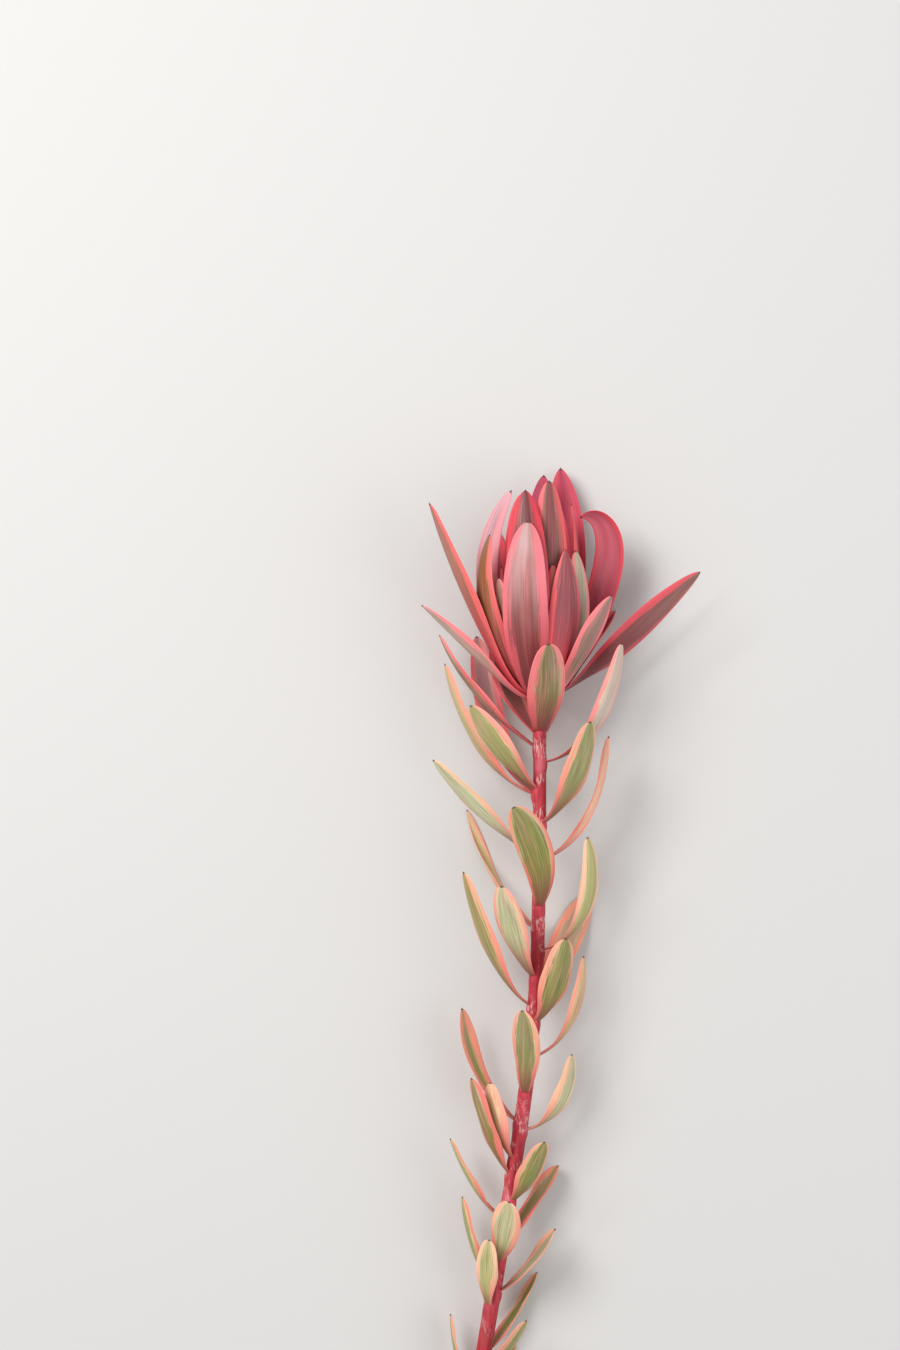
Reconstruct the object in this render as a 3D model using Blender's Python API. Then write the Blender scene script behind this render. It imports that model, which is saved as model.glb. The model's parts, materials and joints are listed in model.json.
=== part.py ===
"""A cut leucadendron stem, lying on a flat surface with its flower head towards +Y.

The stem, its leaves, the coloured bracts round the head and the cone inside them are modelled as
they grow: leaves and bracts follow one spiral, and each blade is a thin cupped body swept along its
own curved midrib. Blades that would reach below the surface lie along it instead.

Blade maths is in millimetres, in a frame whose origin is the head's base: x to the right, y towards
the head, z up from the surface. The meshes are written in metres.
"""

import math
import random

import bmesh
import bpy
import numpy as np

MM = 0.001

# Place of the head's base, so that the part's origin is the middle of its box, on the surface
HEAD_BASE_X = -9.6
HEAD_BASE_Y = 150.3

# Stem
STEM_LENGTH = 405.0
STEM_TOP_RADIUS = 2.9
STEM_CUT_RADIUS = 3.8
STEM_SIDES = 10
CUT_SLANT = 0.45
HEAD_HEIGHT = 31.0
DROOP_POWER = 1.3
LEAN_SLOPE = 0.165
LEAN_START = 145.0
LEAN_EASE = 25.0
SCAR_HEIGHT = 0.55
SCAR_LENGTH = 2.6

# Spiral: each blade stands this far round the stem from the one above it
DIVERGENCE = 135.0

# Leaves, from the top one down
LEAF_COUNT = 35
SCAR_COUNT = 4
FIRST_LEAF = 12.0
LEAF_PITCH = 10.2
LEAF_THICKNESS = 1.0

# Bracts, from the outermost in
BRACT_COUNT = 26
BRACT_THICKNESS = 1.0

# Receptacle, the swollen top of the stem that carries the bracts
SEAT_DOWN = 3.5
SEAT_GAP = 0.3
RECEPTACLE_RADIUS = 6.2
RECEPTACLE_TOP = -6.0
BRACT_BAND_BOTTOM = 0.8
BRACT_BAND_TOP = -4.0

# Cone
CONE_RADIUS = 7.2
CONE_HEIGHT = 24.0
CONE_ROWS = 20
CONE_SIDES = 32
CONE_SCALE_RELIEF = 0.9

# A blade's mesh: shares of its length where it has a row, and places across it
LEAF_ROWS = (0.0, 0.07, 0.16, 0.28, 0.42, 0.57, 0.72, 0.85, 0.94, 0.985)
BRACT_ROWS = (0.0, 0.05, 0.11, 0.2, 0.32, 0.46, 0.6, 0.74, 0.86, 0.945, 0.985)
ACROSS = (-1.0, -0.5, 0.0, 0.5, 1.0)
PATH_STEPS = 60
FLOOR_EASE = 3.0
FLOOR_STACK = 1.2

SEED = 7

# How single blades differ from the rule: where each grows, its size, and how it bends.
# flare is the angle from the stem at the root, lean the angle that it settles to, settle how soon,
# tuck how far the blade turns in, hook how far its tip alone does, sweep how far it veers round the
# stem, and twist how far it turns about its own midrib. neck, widest, tip and cup shape the outline.
# Angles are in degrees, and azimuth 0 is straight up from the surface. Leaf 34 grows out of turn,
# high up behind the top leaves.
LEAF_HABITS = {
    0: dict(azimuth=-135, down=16, length=50, width=14, flare=62, lean=36),
    1: dict(azimuth=10, down=15, length=56, width=17, lean=43, sweep=-9, neck=0.42, widest=0.5, twist=6),
    2: dict(azimuth=-108, down=22, length=70, width=13, flare=62, lean=50, twist=26, tuck=28),
    3: dict(azimuth=75, down=28, length=70, width=12, flare=84, lean=-12, settle=0.58, tuck=0, twist=-24),
    4: dict(azimuth=-62, down=41, length=53, width=15, lean=44, twist=25),
    5: dict(azimuth=-98, down=43, length=76, width=12, flare=76, lean=23, settle=0.35, tuck=14, twist=30),
    6: dict(azimuth=57, down=56, length=56, width=15, flare=62, lean=15, settle=0.4, twist=-18),
    7: dict(azimuth=-84, down=71, length=65, width=14, flare=62, lean=50, twist=26, tuck=14),
    8: dict(azimuth=98, down=72, length=68, width=12, flare=76, lean=-16, settle=0.58, tuck=0, twist=4),
    9: dict(azimuth=8, down=94, length=61, width=16, lean=30, sweep=-34),
    10: dict(azimuth=-138, length=71, lean=40, width=11, tuck=22, twist=25, flare=74, settle=0.32),
    11: dict(
        azimuth=80, down=113, length=63, width=11.5, flare=80,
        lean=-21, settle=0.55, twist=-34, neck=0.16, widest=0.64,
    ),
    12: dict(azimuth=-44, down=126, length=54, width=14.5, lean=34, twist=12, sweep=8),
    13: dict(azimuth=148, length=60, lean=46),
    14: dict(azimuth=45, down=146, length=44.5, width=17, lean=20, flare=62, tuck=26, twist=-8),
    15: dict(azimuth=-72, down=139, length=72, width=14.5, lean=25, twist=12, flare=64, settle=0.25),
    16: dict(azimuth=92, down=162, length=56, width=10.5, flare=70, lean=-4, settle=0.45, twist=-32),
    17: dict(azimuth=-7, down=179, length=49.5, width=13.5, lean=28, sweep=-10),
    18: dict(azimuth=-102, down=192, length=60, width=12, flare=70, lean=28, settle=0.34),
    19: dict(
        azimuth=80, down=195, length=46, width=11.5, flare=78,
        lean=2, settle=0.45, twist=-34, tuck=24,
    ),
    20: dict(azimuth=-52, down=209, length=41, width=11, lean=32, sweep=-8, twist=16, tuck=26),
    21: dict(azimuth=-66, lean=31, length=52, twist=12, sweep=0),
    22: dict(azimuth=42, down=228, length=37, width=13, lean=26, twist=-10),
    23: dict(lean=38, twist=16, flare=70, settle=0.26, width=11),
    25: dict(azimuth=-5, down=256, length=39, width=14, lean=30),
    26: dict(azimuth=-90, twist=18),
    27: dict(azimuth=80, down=270, length=42, width=12, lean=34, flare=64),
    28: dict(azimuth=-34, down=277, length=38, width=11, lean=20),
    34: dict(
        azimuth=-133, down=43, length=84, width=12.5, flare=72,
        lean=14, settle=0.3, tuck=8, twist=-28, sweep=0,
    ),
}
BRACT_HABITS = {
    1: dict(azimuth=136, length=64, width=13, lean=45, tuck=0),
    2: dict(azimuth=-86, length=67, width=13, lean=46, tuck=0, settle=0.1, twist=10),
    3: dict(azimuth=60, length=59, width=13.5, flare=76, lean=32, tuck=4, twist=-12, cup=0.26),
    4: dict(azimuth=172, length=88, width=19, lean=27, tuck=32),
    5: dict(azimuth=-52, length=60, width=11, flare=61, lean=23, tuck=16),
    6: dict(azimuth=95, length=91, width=16, flare=74, lean=48, tuck=2, twist=-45, cup=0.18),
    7: dict(azimuth=-146, length=90, width=20, flare=84, lean=28, twist=8, cup=0.24),
    8: dict(azimuth=-18, length=89, width=20.5, flare=86, lean=23, tuck=43, sweep=2, tip=0.5),
    9: dict(azimuth=114, length=104, width=15, flare=70, lean=20, tuck=-6, hook=162, twist=44, cup=0.3),
    10: dict(
        azimuth=-79, length=102, width=20, flare=86, lean=28,
        tuck=12, cup=0.3, settle=0.08, widest=0.6,
    ),
    11: dict(
        azimuth=35, length=73, width=18, flare=78, lean=21,
        tuck=36, neck=0.22, widest=0.46, tip=0.75, sweep=-3,
    ),
    12: dict(azimuth=-168, length=104, width=20, lean=22, twist=2, cup=0.3),
    13: dict(azimuth=-64, length=82, width=15, flare=68, lean=32, tuck=60, twist=6, sweep=-3, cup=0.3),
    14: dict(azimuth=65, length=71, width=14, lean=17, tuck=34, sweep=1, twist=-26),
    15: dict(azimuth=-108, length=104, width=14, lean=20, tuck=62, twist=56, cup=0.26, tip=0.5),
    16: dict(azimuth=-13, length=99, width=19, lean=15, tuck=34, cup=0.3),
    17: dict(azimuth=150, length=114, width=20, flare=78, lean=17, tuck=34, twist=5, cup=0.3),
    18: dict(azimuth=-90, length=62, width=13, lean=15),
    19: dict(azimuth=13, length=63, width=9, lean=19, tuck=24),
    20: dict(azimuth=-178, length=106, width=16, lean=8),
    21: dict(azimuth=-45, length=76, width=14, flare=67, lean=10),
    22: dict(azimuth=86, length=90, width=13, lean=6),
    23: dict(azimuth=-135, length=80, width=14, lean=8),
    24: dict(azimuth=17, length=98.5, width=16, lean=6, tuck=12, tip=0.48, settle=0.105),
    25: dict(azimuth=132, length=88, width=13, lean=6),
    26: dict(azimuth=-100, length=76, width=12, lean=6),
}


def clear_scene():
    """Removes what Blender's start-up file holds."""
    for thing in list(bpy.data.objects):
        bpy.data.objects.remove(thing)


def axis_point(down):
    """The stem's centre this far below the head's base, or above it where down is negative."""
    lean = LEAN_SLOPE * LEAN_EASE * math.log1p(math.exp((down - LEAN_START) / LEAN_EASE))
    share = max(down, 0.0) / STEM_LENGTH
    height = HEAD_HEIGHT - (HEAD_HEIGHT - STEM_CUT_RADIUS) * share**DROOP_POWER
    return np.array([-lean, -down, height])


def axis_frame(down):
    """The stem's direction towards the head, and its upward and rightward directions there."""
    along = axis_point(down - 1.0) - axis_point(down + 1.0)
    along /= np.linalg.norm(along)
    up = np.array([0.0, 0.0, 1.0])
    up -= along * up.dot(along)
    up /= np.linalg.norm(up)
    return along, up, np.cross(along, up)


def leaf_by_rule(number):
    """What leaf number would be if it only followed the spiral, with a little seeded variety."""
    chance = random.Random(SEED + number)
    share = number / (LEAF_COUNT - 1)
    azimuth = (DIVERGENCE * (1 - number) + 180.0) % 360.0 - 180.0
    if abs(azimuth) > 170.0:
        azimuth = 128.0 if number % 16 == 13 else -128.0
    return dict(
        azimuth=azimuth + chance.uniform(-6, 6),
        down=FIRST_LEAF + LEAF_PITCH * (number - 1),
        length=(63.0 - 25.0 * share) * chance.uniform(0.94, 1.06),
        width=(15.0 - 3.0 * share) * chance.uniform(0.94, 1.06),
        flare=58.0,
        lean=30.0 + chance.uniform(-5, 7),
        settle=0.16,
        tuck=14.0 + chance.uniform(-6, 6),
        hook=0.0,
        sweep=chance.uniform(-7, 7),
        twist=chance.uniform(-22, 22),
        cup=0.26,
        root=0.6,
        neck=0.24,
        widest=0.6,
        tip=0.5,
        thickness=LEAF_THICKNESS,
        level=0.5 * LEAF_THICKNESS,
    )


def bract_by_rule(number):
    """What bract number would be if it only followed the spiral, with a little seeded variety."""
    chance = random.Random(SEED + 100 + number)
    share = number / BRACT_COUNT
    return dict(
        azimuth=(DIVERGENCE * number + 180.0) % 360.0 - 180.0 + chance.uniform(-5,
        5),
        down=BRACT_BAND_BOTTOM + (BRACT_BAND_TOP - BRACT_BAND_BOTTOM) * share,
        length=(98.0 - 20.0 * share) * chance.uniform(0.96, 1.04),
        width=(19.0 - 6.0 * share) * chance.uniform(0.95, 1.05),
        flare=84.0 - 16.0 * share,
        lean=18.0 - 14.0 * share,
        settle=0.12,
        tuck=40.0 - 26.0 * share,
        hook=0.0,
        sweep=chance.uniform(-4, 4),
        twist=chance.uniform(-8, 8),
        cup=0.36,
        root=2.2,
        neck=0.42,
        widest=0.52,
        tip=0.58,
        thickness=BRACT_THICKNESS,
        level=0.5 * BRACT_THICKNESS + FLOOR_STACK * ((number + 2) % 3),
    )


def half_width_share(t, neck, widest, tip):
    """The blade's outline: its half width at share t of its length, where its widest part is 1."""
    if t <= widest:
        return neck + (1.0 - neck) * math.sin(0.5 * math.pi * t / widest) ** 1.35
    past = (t - widest) / (1.0 - widest)
    return max(0.0, 1.0 - past**2.5) ** tip


def rest_on_surface(height, level):
    """A height eased so that nothing goes below level: what would reach deeper lies flat on it."""
    over = height - level
    if over >= FLOOR_EASE:
        return height
    if over <= -FLOOR_EASE:
        return level
    return level + (over + FLOOR_EASE) ** 2 / (4.0 * FLOOR_EASE)


def midrib(blade):
    """The blade's midrib as points, with the direction across the blade at each."""
    along, up, right = axis_frame(blade["down"])
    turn = math.radians(blade["azimuth"])
    out = math.cos(turn) * up + math.sin(turn) * right
    around = math.cos(turn) * right - math.sin(turn) * up
    point = axis_point(blade["down"]) + out * blade["root"]
    step = blade["length"] / PATH_STEPS
    points, across = [], []
    for i in range(PATH_STEPS + 1):
        t = i / PATH_STEPS
        angle = blade["lean"] + (blade["flare"] - blade["lean"]) * math.exp(-t / blade["settle"])
        angle = math.radians(angle - blade["tuck"] * t**2 - blade["hook"] * t**6)
        veer = math.tan(math.radians(blade["sweep"]) * t)
        heading = math.cos(angle) * along + math.sin(angle) * out + veer * around
        heading /= np.linalg.norm(heading)
        flat = around - heading * around.dot(heading)
        flat /= np.linalg.norm(flat)
        face = np.cross(heading, flat)
        eased = min(t / 0.4, 1.0)
        twist = math.radians(blade["twist"]) * eased * eased * (3.0 - 2.0 * eased)
        points.append(point.copy())
        across.append(math.cos(twist) * flat + math.sin(twist) * face)
        point = point + heading * step
    return np.array(points), np.array(across)


def blade_grid(blade, shares, places):
    """The blade's middle surface as rows of points, at shares of its length and places across it.
    It is cupped, and it lies on the surface where the free blade would reach below it."""
    points, across = midrib(blade)
    headings = np.gradient(points, axis=0)
    steps = np.linspace(0.0, 1.0, PATH_STEPS + 1)
    grid = []
    for t in shares:
        middle = np.array([np.interp(t, steps, points[:, i]) for i in range(3)])
        side = np.array([np.interp(t, steps, across[:, i]) for i in range(3)])
        heading = np.array([np.interp(t, steps, headings[:, i]) for i in range(3)])
        face = np.cross(side, heading)
        face /= np.linalg.norm(face)
        half = 0.5 * blade["width"] * half_width_share(t, blade["neck"], blade["widest"], blade["tip"])
        row = [middle + half * (v * side - blade["cup"] * v * v * face) for v in places]
        for point in row:
            point[2] = rest_on_surface(point[2], blade["level"])
        grid.append(row)
    return np.array(grid)


def blade_points(blade, shares):
    """Outer and inner faces of the blade as rows of points, and its tip. The two faces meet at
    both edges."""
    grid = blade_grid(blade, list(shares) + [1.0], ACROSS)
    face = np.cross(np.gradient(grid, axis=1), np.gradient(grid, axis=0))[:-1]
    face /= np.linalg.norm(face, axis=2, keepdims=True)
    swell = 0.5 * blade["thickness"] * (1.0 - np.array(ACROSS) ** 2) ** 0.4
    offset = face * swell[None, :, None]
    return grid[:-1] + offset, grid[:-1] - offset, grid[-1, len(ACROSS) // 2]


def blade_mesh(name, blade, shares):
    """One closed blade. Both faces are cut into triangles alike, so that they never cross."""
    outer, inner, tip = blade_points(blade, shares)
    last = len(ACROSS) - 1
    points, index = [], {}
    for i in range(len(shares)):
        for j in range(len(ACROSS)):
            index["outer", i, j] = len(points)
            points.append(outer[i][j])
            if j in (0, last):
                index["inner", i, j] = index["outer", i, j]
            else:
                index["inner", i, j] = len(points)
                points.append(inner[i][j])
    top = len(points)
    points.append(tip)
    faces = []
    for i in range(len(shares) - 1):
        for j in range(last):
            for side, flip in (("outer", False), ("inner", True)):
                a, b = index[side, i, j], index[side, i, j + 1]
                c, d = index[side, i + 1, j + 1], index[side, i + 1, j]
                halves = ((a, b, c), (a, c, d)) if (j < last / 2) else ((a, b, d), (b, c, d))
                faces += [half[::-1] if flip else half for half in halves]
    end = len(shares) - 1
    for j in range(last):
        faces.append((index["outer", end, j], index["outer", end, j + 1], top))
        faces.append((index["inner", end, j + 1], index["inner", end, j], top))
        root = (index["outer", 0, j + 1], index["outer", 0, j])
        inside = (index["inner", 0, j], index["inner", 0, j + 1])
        ring = [p for n, p in enumerate(root + inside) if p not in (root + inside)[:n]]
        for n in range(1, len(ring) - 1):
            faces.append((ring[0], ring[n], ring[n + 1]))
    return new_object(name, points, faces)


def new_object(name, points, faces):
    """A mesh object from points in millimetres round the head's base."""
    place = np.array([HEAD_BASE_X, HEAD_BASE_Y, 0.0])
    mesh = bpy.data.meshes.new(name)
    mesh.from_pydata([tuple((p + place) * MM) for p in points], [], faces)
    mesh.update()
    thing = bpy.data.objects.new(name, mesh)
    bpy.context.scene.collection.objects.link(thing)
    return thing


def tube_mesh(name, centres, frames, radii, slant=0.0):
    """A closed tube through centres. radii gives each ring's radius at each angle round it."""
    sides = len(radii[0])
    points, faces = [], []
    for n, (centre, (along, up, right), ring) in enumerate(zip(centres, frames, radii)):
        for i, radius in enumerate(ring):
            turn = 2.0 * math.pi * i / sides
            point = centre + radius * (math.cos(turn) * up + math.sin(turn) * right)
            if n == 0:
                point = point + along * slant * radius * math.cos(turn)
            point[2] = max(point[2], 0.0)
            points.append(point)
    for n in range(len(centres) - 1):
        for i in range(sides):
            a, b = n * sides + i, n * sides + (i + 1) % sides
            faces.append((a, b, b + sides, a + sides))
    faces.append(tuple(range(sides))[::-1])
    top = (len(centres) - 1) * sides
    faces.append(tuple(range(top, top + sides)))
    return new_object(name, points, faces)


def stem_radius(down, turn, roots):
    """The stem's radius, with a low cushion or scar under each place where a leaf grew."""
    radius = STEM_TOP_RADIUS + (STEM_CUT_RADIUS - STEM_TOP_RADIUS) * down / STEM_LENGTH
    for root_down, root_turn in roots:
        near = math.exp(-(((down - root_down - 1.0) / SCAR_LENGTH) ** 2))
        facing = max(0.0, math.cos(turn - root_turn))
        radius += SCAR_HEIGHT * near * facing * facing
    return radius


def build_stem(leaves):
    """The woody stem, from its slanted cut to just under the receptacle."""
    roots = [(leaf["down"], math.radians(leaf["azimuth"])) for leaf in leaves]
    downs = [STEM_LENGTH, STEM_LENGTH - 4.0, SEAT_DOWN + SEAT_GAP]
    for root_down, _ in roots:
        downs += [root_down + 1.0, root_down + 0.55 * LEAF_PITCH]
    downs = sorted(set(downs), reverse=True)
    turns = [2.0 * math.pi * i / STEM_SIDES for i in range(STEM_SIDES)]
    radii = [[stem_radius(down, turn, roots) for turn in turns] for down in downs]
    radii[0] = [STEM_CUT_RADIUS] * STEM_SIDES
    centres = [axis_point(down) for down in downs]
    frames = [axis_frame(down) for down in downs]
    return tube_mesh("leafy_stem", centres, frames, radii, CUT_SLANT)


def build_receptacle():
    """The swollen top of the stem: a short flare with a low dome, which the bracts grow from."""
    stations = (
        (SEAT_DOWN, STEM_TOP_RADIUS),
        (1.5, STEM_TOP_RADIUS + 1.4),
        (-1.0, RECEPTACLE_RADIUS - 0.6),
        (-3.5, RECEPTACLE_RADIUS),
        (RECEPTACLE_TOP, RECEPTACLE_RADIUS - 0.4),
    )
    centres = [axis_point(down) for down, _ in stations]
    frames = [axis_frame(down) for down, _ in stations]
    radii = [[radius] * STEM_SIDES for _, radius in stations]
    return tube_mesh("bract_head", centres, frames, radii)


def fill_pockets(mesh):
    """Keeps the outer shell alone, so that a pocket closed in between blades is solid."""
    solid = bmesh.new()
    solid.from_mesh(mesh)
    left = set(solid.verts)
    shells = []
    while left:
        shell, edge = set(), [left.pop()]
        while edge:
            point = edge.pop()
            shell.add(point)
            near = {line.other_vert(point) for line in point.link_edges} & left
            left -= near
            edge += near
        shells.append(shell)
    outer = max(shells, key=len)
    bmesh.ops.delete(solid, geom=[p for p in solid.verts if p not in outer], context="VERTS")
    solid.to_mesh(mesh)
    solid.free()


def join_blades(carrier, blades):
    """Fuses the blades into what they grow from, with one union, and removes them."""
    group = bpy.data.collections.new(carrier.name + "_blades")
    bpy.context.scene.collection.children.link(group)
    for blade in blades:
        bpy.context.scene.collection.objects.unlink(blade)
        group.objects.link(blade)
    union = carrier.modifiers.new("union", "BOOLEAN")
    union.operation = "UNION"
    union.operand_type = "COLLECTION"
    union.collection = group
    union.solver = "EXACT"
    graph = bpy.context.evaluated_depsgraph_get()
    joined = bpy.data.meshes.new_from_object(carrier.evaluated_get(graph))
    carrier.modifiers.remove(union)
    fill_pockets(joined)
    carrier.data = joined
    for blade in blades:
        bpy.data.objects.remove(blade)
    bpy.data.collections.remove(group)


def build_cone():
    """The true flower, a cone of small scales raised from its surface along two spirals."""
    base = RECEPTACLE_TOP - SEAT_GAP
    centres, frames, radii = [], [], []
    for n in range(CONE_ROWS + 1):
        t = n / CONE_ROWS
        down = base - CONE_HEIGHT * t
        body = CONE_RADIUS * math.sin(math.pi * (0.09 + 0.87 * t)) ** 0.8
        ring = []
        for i in range(CONE_SIDES):
            turn = 2.0 * math.pi * i / CONE_SIDES
            rising = math.cos(8.0 * turn + 2.0 * math.pi * 5.0 * t)
            falling = math.cos(8.0 * turn - 2.0 * math.pi * 5.0 * t)
            ring.append(body + 0.5 * CONE_SCALE_RELIEF * rising * falling * math.sin(math.pi * t))
        centres.append(axis_point(down))
        frames.append(axis_frame(down))
        radii.append(ring)
    return tube_mesh("flower_cone", centres, frames, radii)


def material(name, colour, roughness):
    """A plain finish: the colour, how dull it is, and no metal."""
    finish = bpy.data.materials.new(name)
    finish.use_nodes = True
    shader = finish.node_tree.nodes["Principled BSDF"]
    shader.inputs["Base Color"].default_value = (*colour, 1.0)
    shader.inputs["Roughness"].default_value = roughness
    shader.inputs["Metallic"].default_value = 0.0
    return finish


def finish_object(thing, finish):
    """Gives the object its material and shades it smooth, apart from sharp edges."""
    thing.data.materials.clear()
    thing.data.materials.append(finish)
    thing.data.shade_smooth()
    thing.data.set_sharp_from_angle(angle=math.radians(50.0))


def all_leaves():
    """Every leaf as it grows: the rule, and then its own habit where it has one."""
    return [leaf_by_rule(n) | LEAF_HABITS.get(n, {}) for n in range(LEAF_COUNT + SCAR_COUNT)]


def all_bracts():
    """Every bract as it grows, from the outermost in."""
    return [bract_by_rule(n) | BRACT_HABITS.get(n, {}) for n in range(1, BRACT_COUNT + 1)]


def build():
    clear_scene()
    leaves = all_leaves()
    stem = build_stem(leaves)
    blades = [blade_mesh(f"leaf_{n}", b, LEAF_ROWS) for n, b in enumerate(leaves[:LEAF_COUNT])]
    join_blades(stem, blades)
    head = build_receptacle()
    blades = [blade_mesh(f"bract_{n}", b, BRACT_ROWS) for n, b in enumerate(all_bracts())]
    join_blades(head, blades)
    cone = build_cone()
    finish_object(stem, material("leaf_green_and_pink", (0.42, 0.36, 0.18), 0.5))
    finish_object(head, material("bract_red", (0.62, 0.10, 0.12), 0.45))
    finish_object(cone, material("cone_cream", (0.62, 0.60, 0.32), 0.8))


build()
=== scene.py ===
# %% [markdown]
# # A cut leucadendron stem
#
# This lesson dresses the plain solids of a cut leucadendron stem: a reddish woody stem, leathery leaves
# with a green middle and a coral rim, and a goblet of red bracts round a small cone. The solids are the
# frame. Each is replaced by finer pieces that grow from the same rule, so that they keep its form.
#
# Blades are worked out in millimetres from the base of the flower head, with x to the right, y towards
# the head and z up from the table, which are the lengths that a grower would measure.

import json
import math
import random

import bpy
import numpy as np
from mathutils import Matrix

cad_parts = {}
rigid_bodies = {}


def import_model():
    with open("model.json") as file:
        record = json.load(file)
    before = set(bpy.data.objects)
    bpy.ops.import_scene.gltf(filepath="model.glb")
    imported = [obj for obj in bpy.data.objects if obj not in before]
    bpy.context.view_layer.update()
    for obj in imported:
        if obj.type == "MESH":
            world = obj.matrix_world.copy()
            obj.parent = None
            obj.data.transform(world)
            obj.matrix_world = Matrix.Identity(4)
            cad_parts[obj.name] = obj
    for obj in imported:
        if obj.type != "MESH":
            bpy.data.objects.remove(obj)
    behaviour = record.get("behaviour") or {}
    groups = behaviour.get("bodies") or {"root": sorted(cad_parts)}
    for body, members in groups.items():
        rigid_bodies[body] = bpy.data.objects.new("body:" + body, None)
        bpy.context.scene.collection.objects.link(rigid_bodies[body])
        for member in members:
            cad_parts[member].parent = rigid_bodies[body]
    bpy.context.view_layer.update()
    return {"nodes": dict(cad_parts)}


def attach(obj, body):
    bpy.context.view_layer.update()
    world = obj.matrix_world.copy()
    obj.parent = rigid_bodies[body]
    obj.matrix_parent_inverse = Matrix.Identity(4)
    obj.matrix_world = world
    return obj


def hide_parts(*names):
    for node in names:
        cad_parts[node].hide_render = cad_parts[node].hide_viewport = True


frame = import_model()
MM = 0.001


print("nodes:", ", ".join(sorted(frame["nodes"])))

# %% [markdown]
# ## The stem's line
#
# A woody stem that lies on a table is held up by its flower head, and it comes down to its cut end in a
# slow curve. It also leans to one side lower down. A spline drawn by eye would do, but a formula gives
# the exact line at any distance below the head, and the leaves need that to find their roots.

# %% The stem's line and directions
HEAD_BASE = np.array([-9.6, 150.3, 0.0])
STEM_LENGTH = 405.0
STEM_TOP_RADIUS = 2.9
STEM_CUT_RADIUS = 3.8
HEAD_HEIGHT = 31.0
DROOP_POWER = 1.3
LEAN_SLOPE = 0.165
LEAN_START = 145.0
LEAN_EASE = 25.0


def axis_point(down):
    """The stem's centre this far below the head's base, or above it where down is negative."""
    lean = LEAN_SLOPE * LEAN_EASE * math.log1p(math.exp((down - LEAN_START) / LEAN_EASE))
    share = max(down, 0.0) / STEM_LENGTH
    height = HEAD_HEIGHT - (HEAD_HEIGHT - STEM_CUT_RADIUS) * share**DROOP_POWER
    return np.array([-lean, -down, height])


def axis_frame(down):
    """The stem's direction towards the head, and its upward and rightward directions there."""
    along = axis_point(down - 1.0) - axis_point(down + 1.0)
    along /= np.linalg.norm(along)
    up = np.array([0.0, 0.0, 1.0])
    up -= along * up.dot(along)
    up /= np.linalg.norm(up)
    return along, up, np.cross(along, up)


print("cut end's centre in mm:", np.round(axis_point(STEM_LENGTH) + HEAD_BASE, 1))

# %% [markdown]
# ## Where the blades grow
#
# Leaves and bracts are one organ: both stand on a single spiral, three turns to every eight blades. So
# one rule places them all, and each blade then gets its own habit, because real ones crowd, splay and
# curl. A habit says how steeply the blade leaves the stem (flare), the angle that it settles to (lean),
# how soon (settle), how far it curves in again (tuck and hook), and how far it veers and twists.

# %% The spiral
DIVERGENCE = 135.0
SEED = 7
LEAF_COUNT = 35
SCAR_COUNT = 4
FIRST_LEAF = 12.0
LEAF_PITCH = 10.2
LEAF_THICKNESS = 1.0
# A leaf whose turn comes within 10 degrees of straight down is pushed aside by the table. Every
# eighth leaf is, and they go to alternate sides.
LOWEST_AZIMUTH = 170.0
PUSHED_AZIMUTH = 128.0
print("a new blade every", DIVERGENCE, "degrees, and a new leaf every", LEAF_PITCH, "mm")

# %% The leaves' habits
def habit(azimuth, length, width, lean, **more):
    """A blade's angle round the stem, length, width and lean, and what else is its own."""
    return dict(azimuth=azimuth, length=length, width=width, lean=lean, **more)


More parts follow.
